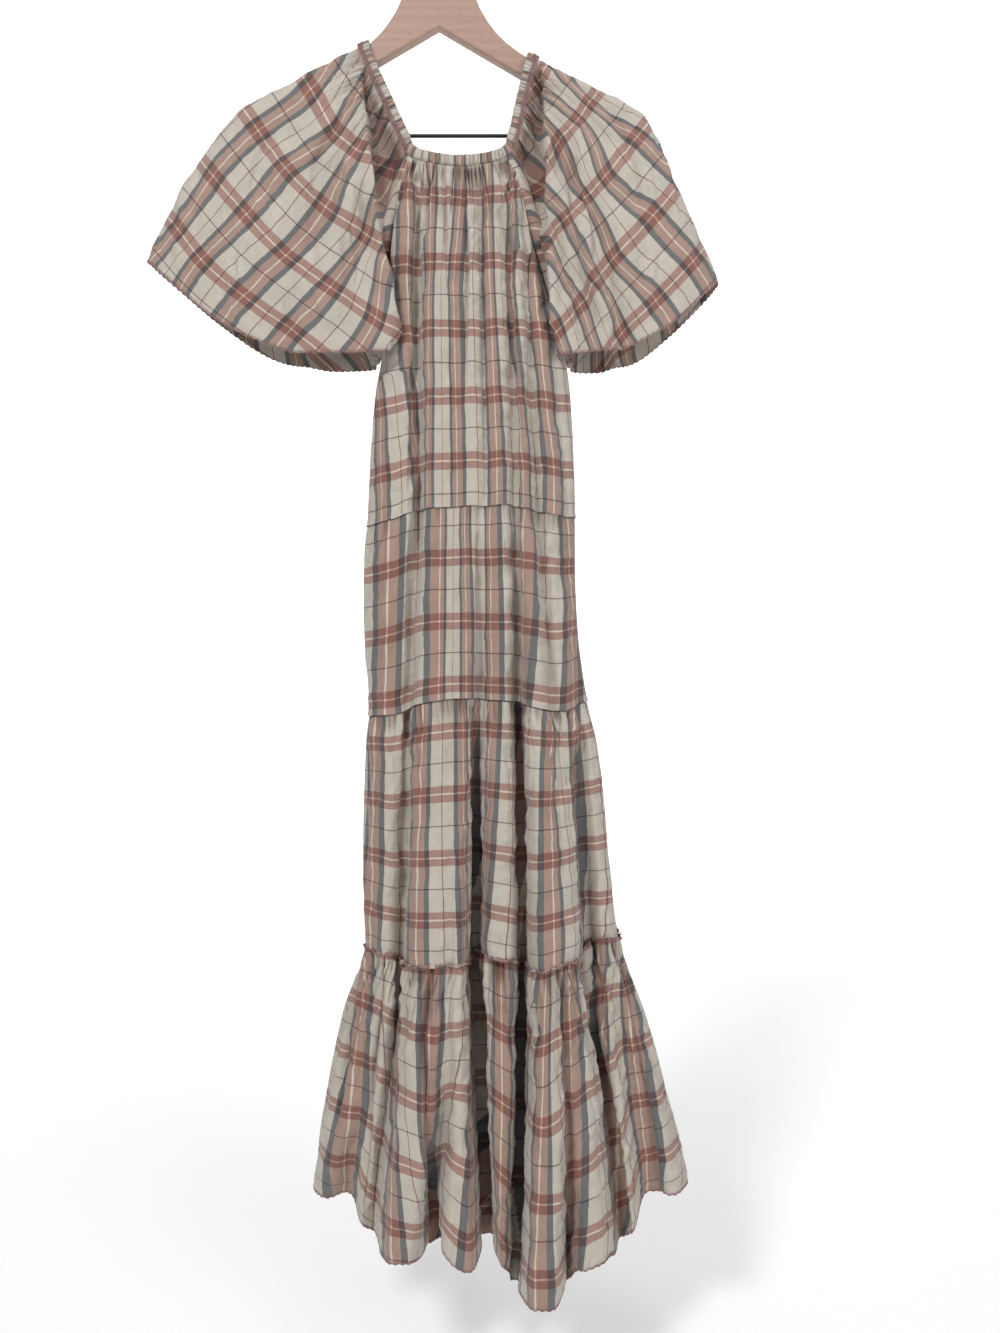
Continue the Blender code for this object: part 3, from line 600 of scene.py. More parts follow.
def with_margin(points, weave, facing, edge):
    """The grid with one more row, which carries on past its edge and lies under its neighbour."""
    near, inward = (-1, -1 - SEAM_STEPS_IN) if edge == "right" else (0, SEAM_STEPS_IN)
    axis = 0 if edge == "top" else 1
    last, weave_row, normals = (
        np.take(grid, near, axis=axis) for grid in (points, weave, surface_normals(points, facing))
    )
    step = last - np.take(points, inward, axis=axis)
    step /= np.linalg.norm(step, axis=-1, keepdims=True)
    margin = last + (step * SEAM_MARGIN[edge] - normals * SEAM_UNDER) * MM
    grids = []
    for grid, row in ((points, margin), (weave, weave_row)):
        row = np.expand_dims(row, axis)
        grids.append(np.concatenate([row, grid] if near == 0 else [grid, row], axis=axis))
    return grids


def sheet_object(name, points, weave, finish):
    """A mesh of quads over the grid, with a UV map and the painted shade attribute from `cloth_map`."""
    rows, columns = points.shape[:2]
    mesh = bpy.data.meshes.new(name)
    index = np.arange(rows * columns).reshape(rows, columns)
    quads = np.stack([index[:-1, :-1], index[1:, :-1], index[1:, 1:], index[:-1, 1:]], axis=-1)
    corners = quads.reshape(-1)
    mesh.vertices.add(rows * columns)
    mesh.vertices.foreach_set("co", points.reshape(-1))
    mesh.loops.add(len(corners))
    mesh.loops.foreach_set("vertex_index", corners)
    mesh.polygons.add(len(corners) // 4)
    mesh.polygons.foreach_set("loop_start", np.arange(0, len(corners), 4))
    uv_map = mesh.uv_layers.new(name="weave")
    uv_map.uv.foreach_set("vector", weave[..., :2].reshape(-1, 2)[corners].reshape(-1))
    # The painted shade of the gathers' valleys, kept on each point.
    painted_shade = mesh.attributes.new(PAINTED_SHADE_ATTRIBUTE, "FLOAT", "POINT")
    painted_shade.data.foreach_set("value", weave[..., 2].reshape(-1))
    mesh.update(calc_edges=True)
    mesh.materials.append(finish)
    mesh.shade_smooth()
    made = add_object(name, mesh)
    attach(made, "root")
    return made


# %% [markdown]
# ## Where the plaid falls
# The plaid was charted: where the middle of each salmon warp band is seen across the
# hanger's plane, near the panel's top, middle and bottom, and how far down its panel each
# pink weft band lies. Some bands are inside a fold, so their places are close together.

# %% Chart of the body's plaid
WARP_REPEAT, WEFT_REPEAT = 54.6, 64.0
Chart = namedtuple("Chart", "drops warp sides middle")
CHARTS = {
    "bodice": Chart(
        (290, 380, 560),
        (
            (-75, -62, -57), (-31, -32, -22), (-8, -10, -11), (22, 14, 18), (48, 51, 58),
            (73, 70, 84), (98, 95, 114), (125, 125, 146),
        ),
        (0.095, 0.289, 0.483, 0.680, 0.868),
        (0.095, 0.289, 0.483, 0.680, 0.868),
    ),
    "upper_tier": Chart(
        (610, 690, 780),
        (
            (-98, -98, -98), (-50, -52, -54), (2, 1, 0), (26, 27, 27), (51, 52, 52), (85, 85, 85),
            (128, 132, 134), (170, 172, 176),
        ),
        (0.265, 0.598, 0.923),
        (0.265, 0.598, 0.923),
    ),
    "middle_tier": Chart(
        (800, 905, 1020),
        (
            (-110, -110, -112), (-64, -66, -68), (-16, -20, -22), (24, 25, 25), (38, 36, 33),
            (52, 48, 44), (110, 113, 115), (134, 140, 143), (168, 180, 188),
        ),
        (0.118, 0.349, 0.586, 0.817),
        (0.118, 0.349, 0.586, 0.817),
    ),
    "flounce": Chart(
        (1045, 1150, 1260),
        (
            (-72, -84, -96), (-38, -42, -47), (-10, -11, -12), (31, 33, 35), (62, 63, 60),
            (107, 103, 96), (130, 132, 134), (160, 168, 178), (184, 194, 208), (214, 228, 250),
        ),
        (0.190, 0.400, 0.610, 0.815),
        (0.225, 0.455, 0.685, 0.910),
    ),
}
print("warp bands charted:", sum(len(chart.warp) for chart in CHARTS.values()))

# %% [markdown]
# A band that is seen narrow has cloth hidden in a fold. So whole repeats are counted along the
# cloth itself, and between the charted bands the plaid runs evenly.

# %% Places of the plaid
def seen_from_camera(x, out, drop):
    """Where a point is seen, as x and drop in the hanger's plane."""
    nearer = VIEW_AWAY / (VIEW_AWAY - out)
    return VIEW_X + (x - VIEW_X) * nearer, VIEW_DROP + (drop - VIEW_DROP) * nearer


def through_knots(at, knots, values):
    """Straight lines through the knots, carried on past both ends."""
    inside = np.interp(at, knots, values)
    first = (values[1] - values[0]) / (knots[1] - knots[0])
    last = (values[-1] - values[-2]) / (knots[-1] - knots[-2])
    inside = np.where(at < knots[0], values[0] + (at - knots[0]) * first, inside)
    return np.where(at > knots[-1], values[-1] + (at - knots[-1]) * last, inside)


def across_bands(seen, shares, middles, bands):
    """u along one row: even between the bands, by the cloth's own length."""
    middles = np.array(middles)
    beyond = np.clip(middles - seen[-1], 0, None) + np.clip(middles - seen[0], None, 0)
    knots = np.interp(middles, seen, shares) + beyond / (seen[-1] - seen[0])
    return through_knots(shares, knots, bands)


def plaid_places(chart, surface, side, shares, downs):
    """The weave's u and v in millimetres at each point of a panel's grid."""
    rows, places = [], []
    for row in surface:
        seen = seen_from_camera(row[:, 0], row[:, 1] * side, row[:, 2])[0]
        seen = np.maximum.accumulate(seen)
        middles = [np.interp(row[:, 2].mean(), chart.drops, band) for band in chart.warp]
        rows.append((seen, middles))
        places.append([np.interp(middle, seen, along_line(row)) for middle in middles])
    repeats = np.maximum(1, np.round(np.median(np.diff(places, axis=1), axis=0) / WARP_REPEAT))
    bands = np.append(0, np.cumsum(repeats)) * WARP_REPEAT
    u = np.array([across_bands(seen, shares, middles, bands) for seen, middles in rows])
    v = np.zeros_like(u)
    for j, to_side in enumerate(np.abs(2 * shares - 1) ** 2):
        knots = [s * to_side + m * (1 - to_side) for s, m in zip(chart.sides, chart.middle)]
        v[:, j] = through_knots(downs, knots, np.arange(len(knots)) * WEFT_REPEAT)
    return u, v


print("repeat of the plaid in mm:", WARP_REPEAT, "by", WEFT_REPEAT)

# %% [markdown]
# ## The materials
# The real cloth is woven from cream, salmon, grey-blue, pink and dark threads. A picture of it
# would blur close up. Nodes stay sharp: a cream cloth is tinted once by the warp's stripes and
# once by the weft's, so the colours mix where they cross, as threads do.

# %% Stripes of the plaid
Stripe = namedtuple("Stripe", "width tint")
CREAM, PLAIN = (0.50, 0.455, 0.39), (1.0, 1.0, 1.0)
SALMON, BLUE_GREY = (0.70, 0.515, 0.49), (0.285, 0.315, 0.365)
MAROON_LINE, WHITE_LINE = (0.52, 0.33, 0.33), (1.15, 1.12, 1.05)
PINK, DARK_LINE = (0.68, 0.465, 0.455), (0.44, 0.37, 0.40)
HALF_WARP = table(Stripe, (0.8, WHITE_LINE), (7.0, SALMON), (5.0, BLUE_GREY), (14.0, PLAIN))
HALF_WEFT = table(Stripe, (0.8, WHITE_LINE), (7.5, PINK), (23.1, PLAIN))
WARP = HALF_WARP + (Stripe(1.0, MAROON_LINE),) + HALF_WARP[::-1]
WEFT = HALF_WEFT + (Stripe(1.2, DARK_LINE),) + HALF_WEFT[::-1]


def new_group(name, inputs, outputs):
    tree = bpy.data.node_groups.new(name, "ShaderNodeTree")
    for way, sockets in (("INPUT", inputs), ("OUTPUT", outputs)):
        for label, kind in sockets:
            tree.interface.new_socket(label, in_out=way, socket_type="NodeSocket" + kind)
    return tree, tree.nodes.new("NodeGroupInput").outputs, tree.nodes.new("NodeGroupOutput").inputs


def stripes(tree, place, stripe_table):
    """A tint that repeats along place, in mm, one stripe of the table after the other."""
    repeat = sum(stripe.width for stripe in stripe_table)
    share = calculate(tree, "FRACT", calculate(tree, "DIVIDE", place, repeat))
    made = node(tree, "ShaderNodeValToRGB", {"Fac": share})
    made.color_ramp.interpolation = "CONSTANT"
    stops = made.color_ramp.elements
    start = 0.0
    for k, stripe in enumerate(stripe_table):
        stop = stops[0] if k == 0 else stops.new(start / repeat)
        stop.color = (*stripe.tint, 1)
        start += stripe.width
    stops.remove(stops[-1])
    return made.outputs["Color"]


# %% [markdown]
# Hand-woven looks come from small faults. The stripes wobble, and slubs make threads uneven.
# Both are groups of nodes, which any other cloth could use again.

# %% Node groups of the cloth
WOBBLE_NOISE, WOBBLE_MM = (60.0, 2.0), 1.0
THREAD_MM, THREAD_HEIGHT = 0.7, 0.12
CRINKLE_NOISE = (130.0, 5.0)
SLUBS, SLUB_NOISE = ((900, 70, 1), (70, 900, 1), (45, 45, 1)), (1.0, 2.0)


def plaid_group():
    """Colour of the plaid at a place of the cloth, given in metres."""
    tree, given, out = new_group("plaid", [("Cloth", "Vector")], [("Color", "Color")])
    metres = node(tree, "ShaderNodeSeparateXYZ", {0: given["Cloth"]})
    wobble = scaled(tree, noise(tree, given["Cloth"], *WOBBLE_NOISE), WOBBLE_MM, -WOBBLE_MM / 2)
    tints = []
    for axis, stripe_table in (("X", WARP), ("Y", WEFT)):
        place = scaled(tree, metres.outputs[axis], 1 / MM, wobble)
        tints.append(stripes(tree, place, stripe_table))
    tree.links.new(mixed(tree, mixed(tree, *tints), (*CREAM, 1)), out["Color"])
    return tree


def weave_group():
    """Height of the threads and of small crinkles at a place of the cloth, and its slubs."""
    sockets = [("Height", "Float"), ("Slub", "Float")]
    tree, given, out = new_group("weave", [("Cloth", "Vector")], sockets)
    metres = node(tree, "ShaderNodeSeparateXYZ", {0: given["Cloth"]})
    turns = 2 * math.pi / (THREAD_MM * MM)
    warp, weft = (
        calculate(tree, "SINE", calculate(tree, "MULTIPLY", metres.outputs[axis], turns)) for axis in "XY"
    )
    threads = scaled(tree, calculate(tree, "MULTIPLY", warp, weft), THREAD_HEIGHT, 0.5)
    crinkle = noise(tree, given["Cloth"], *CRINKLE_NOISE)
    height = calculate(tree, "MULTIPLY", calculate(tree, "ADD", crinkle, threads), 0.5)
    tree.links.new(height, out["Height"])
    first, second, third = (
        noise(tree, stretched(tree, given["Cloth"], scale), *SLUB_NOISE) for scale in SLUBS
    )
    total = calculate(tree, "ADD", calculate(tree, "ADD", first, second), third)
    tree.links.new(calculate(tree, "DIVIDE", total, len(SLUBS)), out["Slub"])
    return tree


# %% [markdown]
# The finest gathers are smaller than a panel's grid can hold. The sheet's own attribute says how deep in a
# gather a point lies, and shade is painted into the cloth's colour there, darkest in the deepest valleys.

# %% Cloth material
# The colour of the painted shade in the gathers, a dark warm brown.
PAINTED_SHADE_TINT = (0.36, 0.25, 0.23, 1)
SLUB_CONTRAST, SLUB_LEAST = 0.9, 0.55
CLOTH_ROUGHNESS, SLUB_ROUGHNESS = 0.75, 0.2
WEAVE_BUMP = (1.0, 0.0008)
BRUSHED = {"Sheen Weight": 0.25, "Sheen Roughness": 0.5, "Specular IOR Level": 0.25}


def cloth_material(name):
    """Soft brushed cotton with the plaid, its weave, uneven threads and painted shade in the gathers'
    valleys.
    """
    made, tree, shader = new_material(name)
    place = node(tree, "ShaderNodeUVMap", uv_map="weave").outputs[0]
    plaid, weave = (
        node(tree, "ShaderNodeGroup", {"Cloth": place}, node_tree=group).outputs
        for group in (plaid_group(), weave_group())
    )
    shade = scaled(tree, weave["Slub"], SLUB_CONTRAST, SLUB_LEAST)
    grey = node(tree, "ShaderNodeCombineColor", {channel: shade for channel in range(3)}).outputs[0]
    # How much painted shade each point gets, read from the sheet's attribute.
    deep = node(tree, "ShaderNodeAttribute", attribute_name=PAINTED_SHADE_ATTRIBUTE).outputs["Fac"]
    inputs = {
        "Base Color": mixed(tree, mixed(tree, plaid["Color"], grey), PAINTED_SHADE_TINT, deep),
        "Roughness": scaled(tree, weave["Slub"], SLUB_ROUGHNESS, CLOTH_ROUGHNESS),
        "Normal": bump(tree, weave["Height"], *WEAVE_BUMP),
        **BRUSHED,
    }
    set_inputs(tree, shader, inputs)
    return made


plaid_cotton = cloth_material("plaid_cotton")
print("stripes in a repeat:", len(WARP), "in the warp and", len(WEFT), "in the weft")

# %% [markdown]
# ## The body's eight panels
# A front and a back for the bodice and for each of the three tiers, each a little wider cut
# than the one above it. Their edges meet on the same seam lines. Besides the solid model's
# broad folds, the fronts have narrow ones, given as lines down the cloth.

# %% Narrow folds
Line = namedtuple("Line", "depth half points")
FOLD_ENDS = (0.02, 0.98)
FRONT_LINES = {
    "bodice": (
        Line(-5, 2.6, ((-22, 262), (-22, 400), (-30, 590))),
        Line(-6, 2.4, ((-11, 262), (-12, 285), (-16, 320))),
        Line(-6, 2.4, ((25, 275), (27, 340), (24, 470))),
        Line(-5, 2.4, ((42, 280), (44, 420), (48, 590))),
        Line(-5, 2.6, ((70, 290), (72, 420), (80, 590))),
        Line(-4, 2.2, ((4, 262), (6, 300), (10, 380))),
    ),
    "upper_tier": (
        Line(-4, 3, ((-28, 610), (-30, 790))),
        Line(-5, 3, ((40, 610), (40, 790))),
        Line(-5, 3, ((78, 610), (80, 790))),
    ),
    "middle_tier": (
        Line(-5, 3, ((-33, 795), (-36, 910), (-36, 1050))),
        Line(-10, 3.2, ((36, 795), (38, 920), (37, 1050))),
        Line(-9, 3, ((80, 795), (82, 920), (84, 1050))),
        Line(-9, 3.2, ((138, 830), (143, 920), (148, 1050))),
        Line(-4, 3, ((-70, 795), (-74, 900), (-72, 980))),
    ),
    "flounce": (
        Line(-13, 3.4, ((-7, 1048), (-16, 1121), (-10, 1225), (0, 1370))),
        Line(-15, 3.4, ((37, 1040), (41, 1113), (44, 1225), (50, 1370))),
        Line(-11, 3, ((83, 1040), (81, 1225), (76, 1370))),
        Line(-13, 3.6, ((142, 1040), (155, 1113), (172, 1199), (190, 1330))),
        Line(-6, 2.6, ((124, 1050), (128, 1150), (134, 1320))),
        Line(-8, 3, ((-52, 1050), (-66, 1150), (-74, 1300))),
        Line(-7, 2.8, ((184, 1040), (206, 1180), (222, 1290))),
        Line(-5, 2.6, ((-78, 1050), (-92, 1120), (-100, 1210))),
    ),
}


def beside(x, drop, line):
    """Distance from a line of points, positive to its right as it runs down, and share along it."""
    nearest, signed, share = np.full(x.shape, np.inf), np.zeros(x.shape), np.zeros(x.shape)
    pieces = len(line) - 1
    for k, ((x0, d0), (x1, d1)) in enumerate(zip(line, line[1:])):
        length = math.hypot(x1 - x0, d1 - d0)
        along = ((x - x0) * (x1 - x0) + (drop - d0) * (d1 - d0)) / length**2
        held = np.clip(along, 0, 1)
        away = np.hypot(x - x0 - held * (x1 - x0), drop - d0 - held * (d1 - d0))
        closer = away < nearest
        side = np.sign((x - x0) * (d1 - d0) - (drop - d0) * (x1 - x0))
        nearest = np.where(closer, away, nearest)
        signed = np.where(closer, side * away, signed)
        share = np.where(closer, (k + held) / pieces, share)
    return signed, share


def sharp_folds(x, drop, lines):
    """Lift of narrow folds that run along lines of points."""
    lift = np.zeros_like(x)
    for line in lines:
        away, share = beside(x, drop, line.points)
        fade = np.sin(math.pi * np.clip(share, *FOLD_ENDS)) ** 0.5
        lift += line.depth * bell(away, line.half) * fade
    return lift


# %% [markdown]
# Each panel starts as the smooth surface between its two seams. Gathers and narrow folds push
# its points in and out, and only the flounce gets a scalloped hem.

# %% Body panels
Tier = namedtuple("Tier", "name top bottom rows columns gather cut cut_area")
TIERS = (
    Tier("bodice", "neck", "waist", 150, 480, Gather(6.4, 24, 5.2, 110), (0.30, 0.35), 0.09),
    Tier("upper_tier", "waist", "hip", 80, 340, Gather(1.6, 18, 2.8, 80), (0.36, 0.19), 0.0684),
    Tier("middle_tier", "hip", "knee", 100, 400, Gather(2.8, 22, 3.8, 110), (0.46, 0.25), 0.115),
    Tier("flounce", "knee", "hem", 120, 600, Gather(4.6, 34, 6.0, 150), (0.66, 0.27), 0.178),
)
SIDES = {"front": FRONT, "back": BACK}
BACK_SHARE, BACK_SEED = 0.55, 50
NECK_PULL, LINES_FREE = 0.3, 12
SEAM_STEPS = ("waist", "hip")
SEAM_STEP, SEAM_STEP_REACH = 0.9, 4


def panel_edges(tier, side, shares):
    """Drops of a panel's upper and lower seam, and the neck seam's line where it has one."""
    lower = column(SEAMS, tier.bottom, shares)
    if tier.top != "neck":
        return column(SEAMS, tier.top, shares), lower, None
    neck = neck_line(LEFT_CORNER, RIGHT_CORNER, shares)
    return neck[:, 2], lower, neck[:, :2] * (1, side)


def body_panel(tier, side):
    """Points in metres and the weave's map of one front or back."""
    scale = 1 if side == FRONT else BACK_SHARE
    shares = np.linspace(0, 1, int(tier.columns * scale) + 1)
    downs = np.linspace(0, 1, int(tier.rows * scale) + 1)
    upper, lower, neck = panel_edges(tier, side, shares)
    surface = body_surface(upper, lower, side, shares, downs)
    if neck is not None:
        surface[..., :2] += (neck - surface[0, :, :2]) * (1 - ease(downs / NECK_PULL))[:, None, None]
    grid = np.moveaxis(surface, -1, 0)
    points = to_space(*grid)
    away = distances(points)
    seed = 100 * TIERS.index(tier) + (0 if side == FRONT else BACK_SEED)
    lift = relief(away.left, away, tier.gather, seed)
    if tier.top in SEAM_STEPS:
        lift -= SEAM_STEP * np.exp(-away.top / SEAM_STEP_REACH)
    if tier.bottom in SEAM_STEPS:
        lift += SEAM_STEP * np.exp(-away.bottom / SEAM_STEP_REACH)
    if side == FRONT:
        sharp = sharp_folds(*seen_from_camera(*grid), FRONT_LINES[tier.name])
        lift += sharp * ease(away.sides / LINES_FREE)
    points = lifted(points, surface_normals(points, -side), lift)
    if tier.bottom == "hem":
        points = scalloped(points, away.left_at_bottom, away.bottom)
    u, v = plaid_places(CHARTS[tier.name], surface, side, shares, downs)
    return points, cloth_map(u, v, lift, away.top)


panels = {}


def add_panel(cad_node, points, weave, facing, margins):
    """A panel's sheet, with margins at these edges, in the place of its solid."""
    grown = points, weave
    for edge in margins:
        grown = with_margin(*grown, facing, edge)
    panel = sheet_object(f"{cad_node}_cloth", *grown, plaid_cotton)
    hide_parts(cad_node)
    panels[cad_node] = (panel, points, weave)
    print(cad_node, "points:", points.shape[0] * points.shape[1])


for tier in TIERS:
    for word, side in SIDES.items():
        add_panel(f"{tier.name}_{word}", *body_panel(tier, side), -side, ["top"])

# %% [markdown]
# ## The sleeves
# Each sleeve is one panel that runs from the front of the armhole, over the hanger's arm,
# to the back. It is gathered at the neck and flares to a curved hem. Its plaid was charted
# where a warp band crosses a weft band on the front. The back repeats it.

# %% Chart of the sleeves' plaid and folds
Crossing = namedtuple("Crossing", "warp weft x drop")
LEFT_CROSSINGS = table(
    Crossing,
    (0, 0, -128, 175), (0, 1, -181, 216), (0, 2, -225, 263), (0, 3, -261, 315), (1, 0, -104, 217),
    (1, 1, -153, 255), (1, 2, -192, 301), (1, 3, -238, 345), (2, 0, -82, 236), (2, 1, -113, 293),
    (2, 2, -153, 341), (2, 3, -195, 382), (3, 0, -47, 249), (3, 1, -72, 321), (3, 2, -109, 373),
    (3, 3, -148, 415), (4, 1, -52, 334), (4, 2, -63, 404),
)
RIGHT_CROSSINGS = table(
    Crossing,
    (0, 0, 150, 189), (0, 1, 198, 223), (1, 0, 139, 205), (1, 1, 166, 262), (1, 2, 214, 302),
    (1, 3, 253, 348), (2, 0, 119, 227), (2, 1, 147, 284), (2, 2, 175, 344), (2, 3, 217, 386),
    (3, 0, 100, 269), (3, 1, 128, 303), (3, 2, 157, 366), (3, 3, 183, 419), (4, 1, 103, 331),
    (4, 2, 142, 391),
)
LEFT_LINES = (
    Line(-5, 5, ((-98, 194), (-110, 221), (-123, 246), (-126, 274))),
    Line(4, 6, ((-86, 200), (-92, 240), (-88, 280), (-80, 330))),
    Line(-3, 5, ((-150, 190), (-178, 240), (-190, 290))),
)
RIGHT_LINES = (
    Line(5, 5, ((139, 214), (146, 289), (148, 346), (157, 375), (171, 416))),
    Line(-5, 5, ((129, 224), (135, 289), (137, 346), (146, 380), (158, 420))),
    Line(-3, 5, ((165, 180), (190, 240), (200, 300))),
)
LEFT_DRAPE = ((-73, 201), (-66, 274), (-60, 315), (-51, 362), (-43, 425))
RIGHT_DRAPE = ((106, 206), (109, 249), (109, 346), (115, 410))
DRAPE_DEPTH, DRAPE_REACH, DRAPE_EDGE, DRAPE_EDGE_HALF = 13, 4, 5, 7


def spread_of(square):
    return square * np.log(np.maximum(square, 1e-9)) / 2


def thin_plate(crossings, x, drop):
    """u and v at seen places, bent as little as possible between the charted crossings."""
    seen = np.array([(c.x, c.drop) for c in crossings], float)
    cloth = np.array([(c.warp * WARP_REPEAT, c.weft * WEFT_REPEAT) for c in crossings])
    count = len(seen)
    apart = ((seen[:, None] - seen[None]) ** 2).sum(axis=2)
    flat = np.hstack([np.ones((count, 1)), seen])
    whole = np.block([[spread_of(apart), flat], [flat.T, np.zeros((3, 3))]])
    weights = np.linalg.solve(whole, np.vstack([cloth, np.zeros((3, 2))]))
    places = np.stack([x.ravel(), drop.ravel()], axis=1)
    away = ((places[:, None] - seen[None]) ** 2).sum(axis=2)
    bent = spread_of(away) @ weights[:count]
    found = bent + np.hstack([np.ones((len(places), 1)), places]) @ weights[count:]
    return found[:, 0].reshape(x.shape), found[:, 1].reshape(x.shape)


def drape_folds(x, drop, sleeve):
    """Lift of the sharp folds, and of the cloth that falls back beside the drape's edge."""
    away = beside(x, drop, sleeve.drape)[0] * sleeve.facing
    edge = DRAPE_EDGE * bell(away, DRAPE_EDGE_HALF)
    return sharp_folds(x, drop, sleeve.lines) + edge - DRAPE_DEPTH * ease(away / DRAPE_REACH)


# %% [markdown]
# A sleeve's front falls a little over the bodice and hides the seam, as in the photo. Its plaid
# is bent as little as possible between the crossings, by a thin plate spline.

# %% Sleeves
SLEEVE_ROWS, SLEEVE_COLUMNS = 110, 460
SLEEVE_GATHER = Gather(3.2, 24, 4.0, 90)
SLEEVE_CUT, SLEEVE_CUT_AREA = (0.60, 0.31), 0.138
DRAPE_SHARE, DRAPE_CLEAR, TO_BODY_SHARE, LOWER_SHAPE = 0.16, 14, 0.1, 0.7
DRAPE_GROWS, CLEAR_GROWS, TO_BODY_GROWS, LOWER_GROWS = (0.25, 0.85), (0.25, 0.65), (0.4, 0.8), (0.5, 1)
FOLDS_FROM_SIDE, FOLDS_FROM_NECK = 12, 20
Sleeve = namedtuple("Sleeve", "table neck crossings lines drape facing over to_body lower seed")
LEFT_NECK, RIGHT_NECK = (0, LEFT_CORNER), (RIGHT_CORNER, len(NECK) - 1)
LEFT_CHARTS = LEFT_CROSSINGS, LEFT_LINES, LEFT_DRAPE
RIGHT_CHARTS = RIGHT_CROSSINGS, RIGHT_LINES, RIGHT_DRAPE
SLEEVES = {
    "sleeve_left": Sleeve(LEFT_SLEEVE, LEFT_NECK, *LEFT_CHARTS, 1, 26, 5, 8, 900),
    "sleeve_right": Sleeve(RIGHT_SLEEVE, RIGHT_NECK, *RIGHT_CHARTS, -1, -18, -5, 4, 950),
}


def grows(down, start, end):
    return ease((down - start) / (end - start))


def sleeve_ribs(sleeve):
    """Points in millimetres: x, out and drop of each rib from the front over the arm to the back."""
    half = np.linspace(0, 1, SLEEVE_COLUMNS // 2 + 1)
    neck = neck_line(*sleeve.neck, 1 - half if sleeve.facing > 0 else half)[:, :3]
    start = {side: sleeve_rib(sleeve.table, 0, side, half) for side in (FRONT, BACK)}
    over_edge = np.sin(math.pi * np.clip(half / DRAPE_SHARE, 0, 1))
    at_body = 1 - ease(half / TO_BODY_SHARE)
    grid = []
    for down in np.linspace(0, 1, SLEEVE_ROWS + 1):
        pull = 1 - ease(down / NECK_PULL)
        front, back = (
            sleeve_rib(sleeve.table, down, side, half) + (neck * (1, side, 1) - start[side]) * pull
            for side in (FRONT, BACK)
        )
        front[:, 0] += sleeve.over * grows(down, *DRAPE_GROWS) * over_edge
        front[:, 1] += DRAPE_CLEAR * grows(down, *CLEAR_GROWS) * over_edge
        front[:, 2] += sleeve.lower * grows(down, *LOWER_GROWS) * np.sin(math.pi * half) ** LOWER_SHAPE
        back[:, 0] += sleeve.to_body * grows(down, *TO_BODY_GROWS) * at_body
        grid.append(np.concatenate([front, back[-2::-1]]))
    return np.array(grid)


def sleeve_panel(sleeve):
    """Points in metres and the weave's map of one sleeve."""
    ribs = sleeve_ribs(sleeve)
    middle = SLEEVE_COLUMNS // 2 + 1
    seen = seen_from_camera(*np.moveaxis(ribs[:, :middle], -1, 0))
    u, v = thin_plate(sleeve.crossings, *seen)
    u = np.concatenate([u, 2 * u[:, -1:] - u[:, -2::-1]], axis=1)
    v = np.concatenate([v, v[:, -2::-1]], axis=1)
    points = to_space(*np.moveaxis(ribs, -1, 0))
    away = distances(points)
    even = np.broadcast_to(np.linspace(0, away.left[-1, -1], SLEEVE_COLUMNS + 1), away.left.shape)
    lift = relief(even, away, SLEEVE_GATHER, sleeve.seed)
    free = ease(away.sides / FOLDS_FROM_SIDE) * ease(away.top / FOLDS_FROM_NECK)
    lift[:, :middle] += drape_folds(*seen, sleeve) * free[:, :middle]
    points = lifted(points, surface_normals(points, sleeve.facing), lift)
    return scalloped(points, even, away.bottom), cloth_map(u, v, lift, away.top)


for name, sleeve in SLEEVES.items():
    add_panel(name, *sleeve_panel(sleeve), sleeve.facing, ["top", "left", "right"])

# %% [markdown]
# ## The neck casing
# A strip of the same cloth, folded over an elastic and ruched tight, runs all round the neck.
# A tube of even thickness would look like cord. This band is flat, and puffs between small folds.

# %% Neck casing
CASING_STEPS, CASING_ROUND, CASING_SQUARE = 1500, 16, 0.75
RUCHE_WAVE, RUCHE_DEPTH, RUCHE_SHARPNESS, RUCHE_REST = (3.6, 30), 1.6, 2.2, 0.4
PUFF_WAVE, PUFF_SHARE, PUFF_WIDER = (6.0, 20), 0.5, 0.5
RUCHE_LEAN, RUCHE_LEAN_OVER, CASING_ENDS = 1.2, 3, 6
CASING_FULLNESS, CASING_BAND_AT, CASING_WEFT_AT = 2.15, 22, 0.55


def neck_ring(count):
    """Centre line of the casing in metres, right round, with its width and its outward side."""
    neck = neck_line(0, len(NECK) - 1, np.linspace(0, 1, count // 2 + 1))
    across = casing_width_direction(neck[:, 3])
    front = to_space(neck[:, 0], neck[:, 1], neck[:, 2]) - across * (CASING_WIDTH / 2 + CASING_GAP) * MM
    centre = np.concatenate([front, (front * (1, -1, 1))[-2:0:-1]])
    across = np.concatenate([across, across[-2:0:-1]])
    along = np.roll(centre, -1, axis=0) - np.roll(centre, 1, axis=0)
    out = np.cross(across, along)
    return centre, across, out / np.linalg.norm(out, axis=1, keepdims=True)


def rounded(turn):
    return np.sign(turn) * np.abs(turn) ** CASING_SQUARE


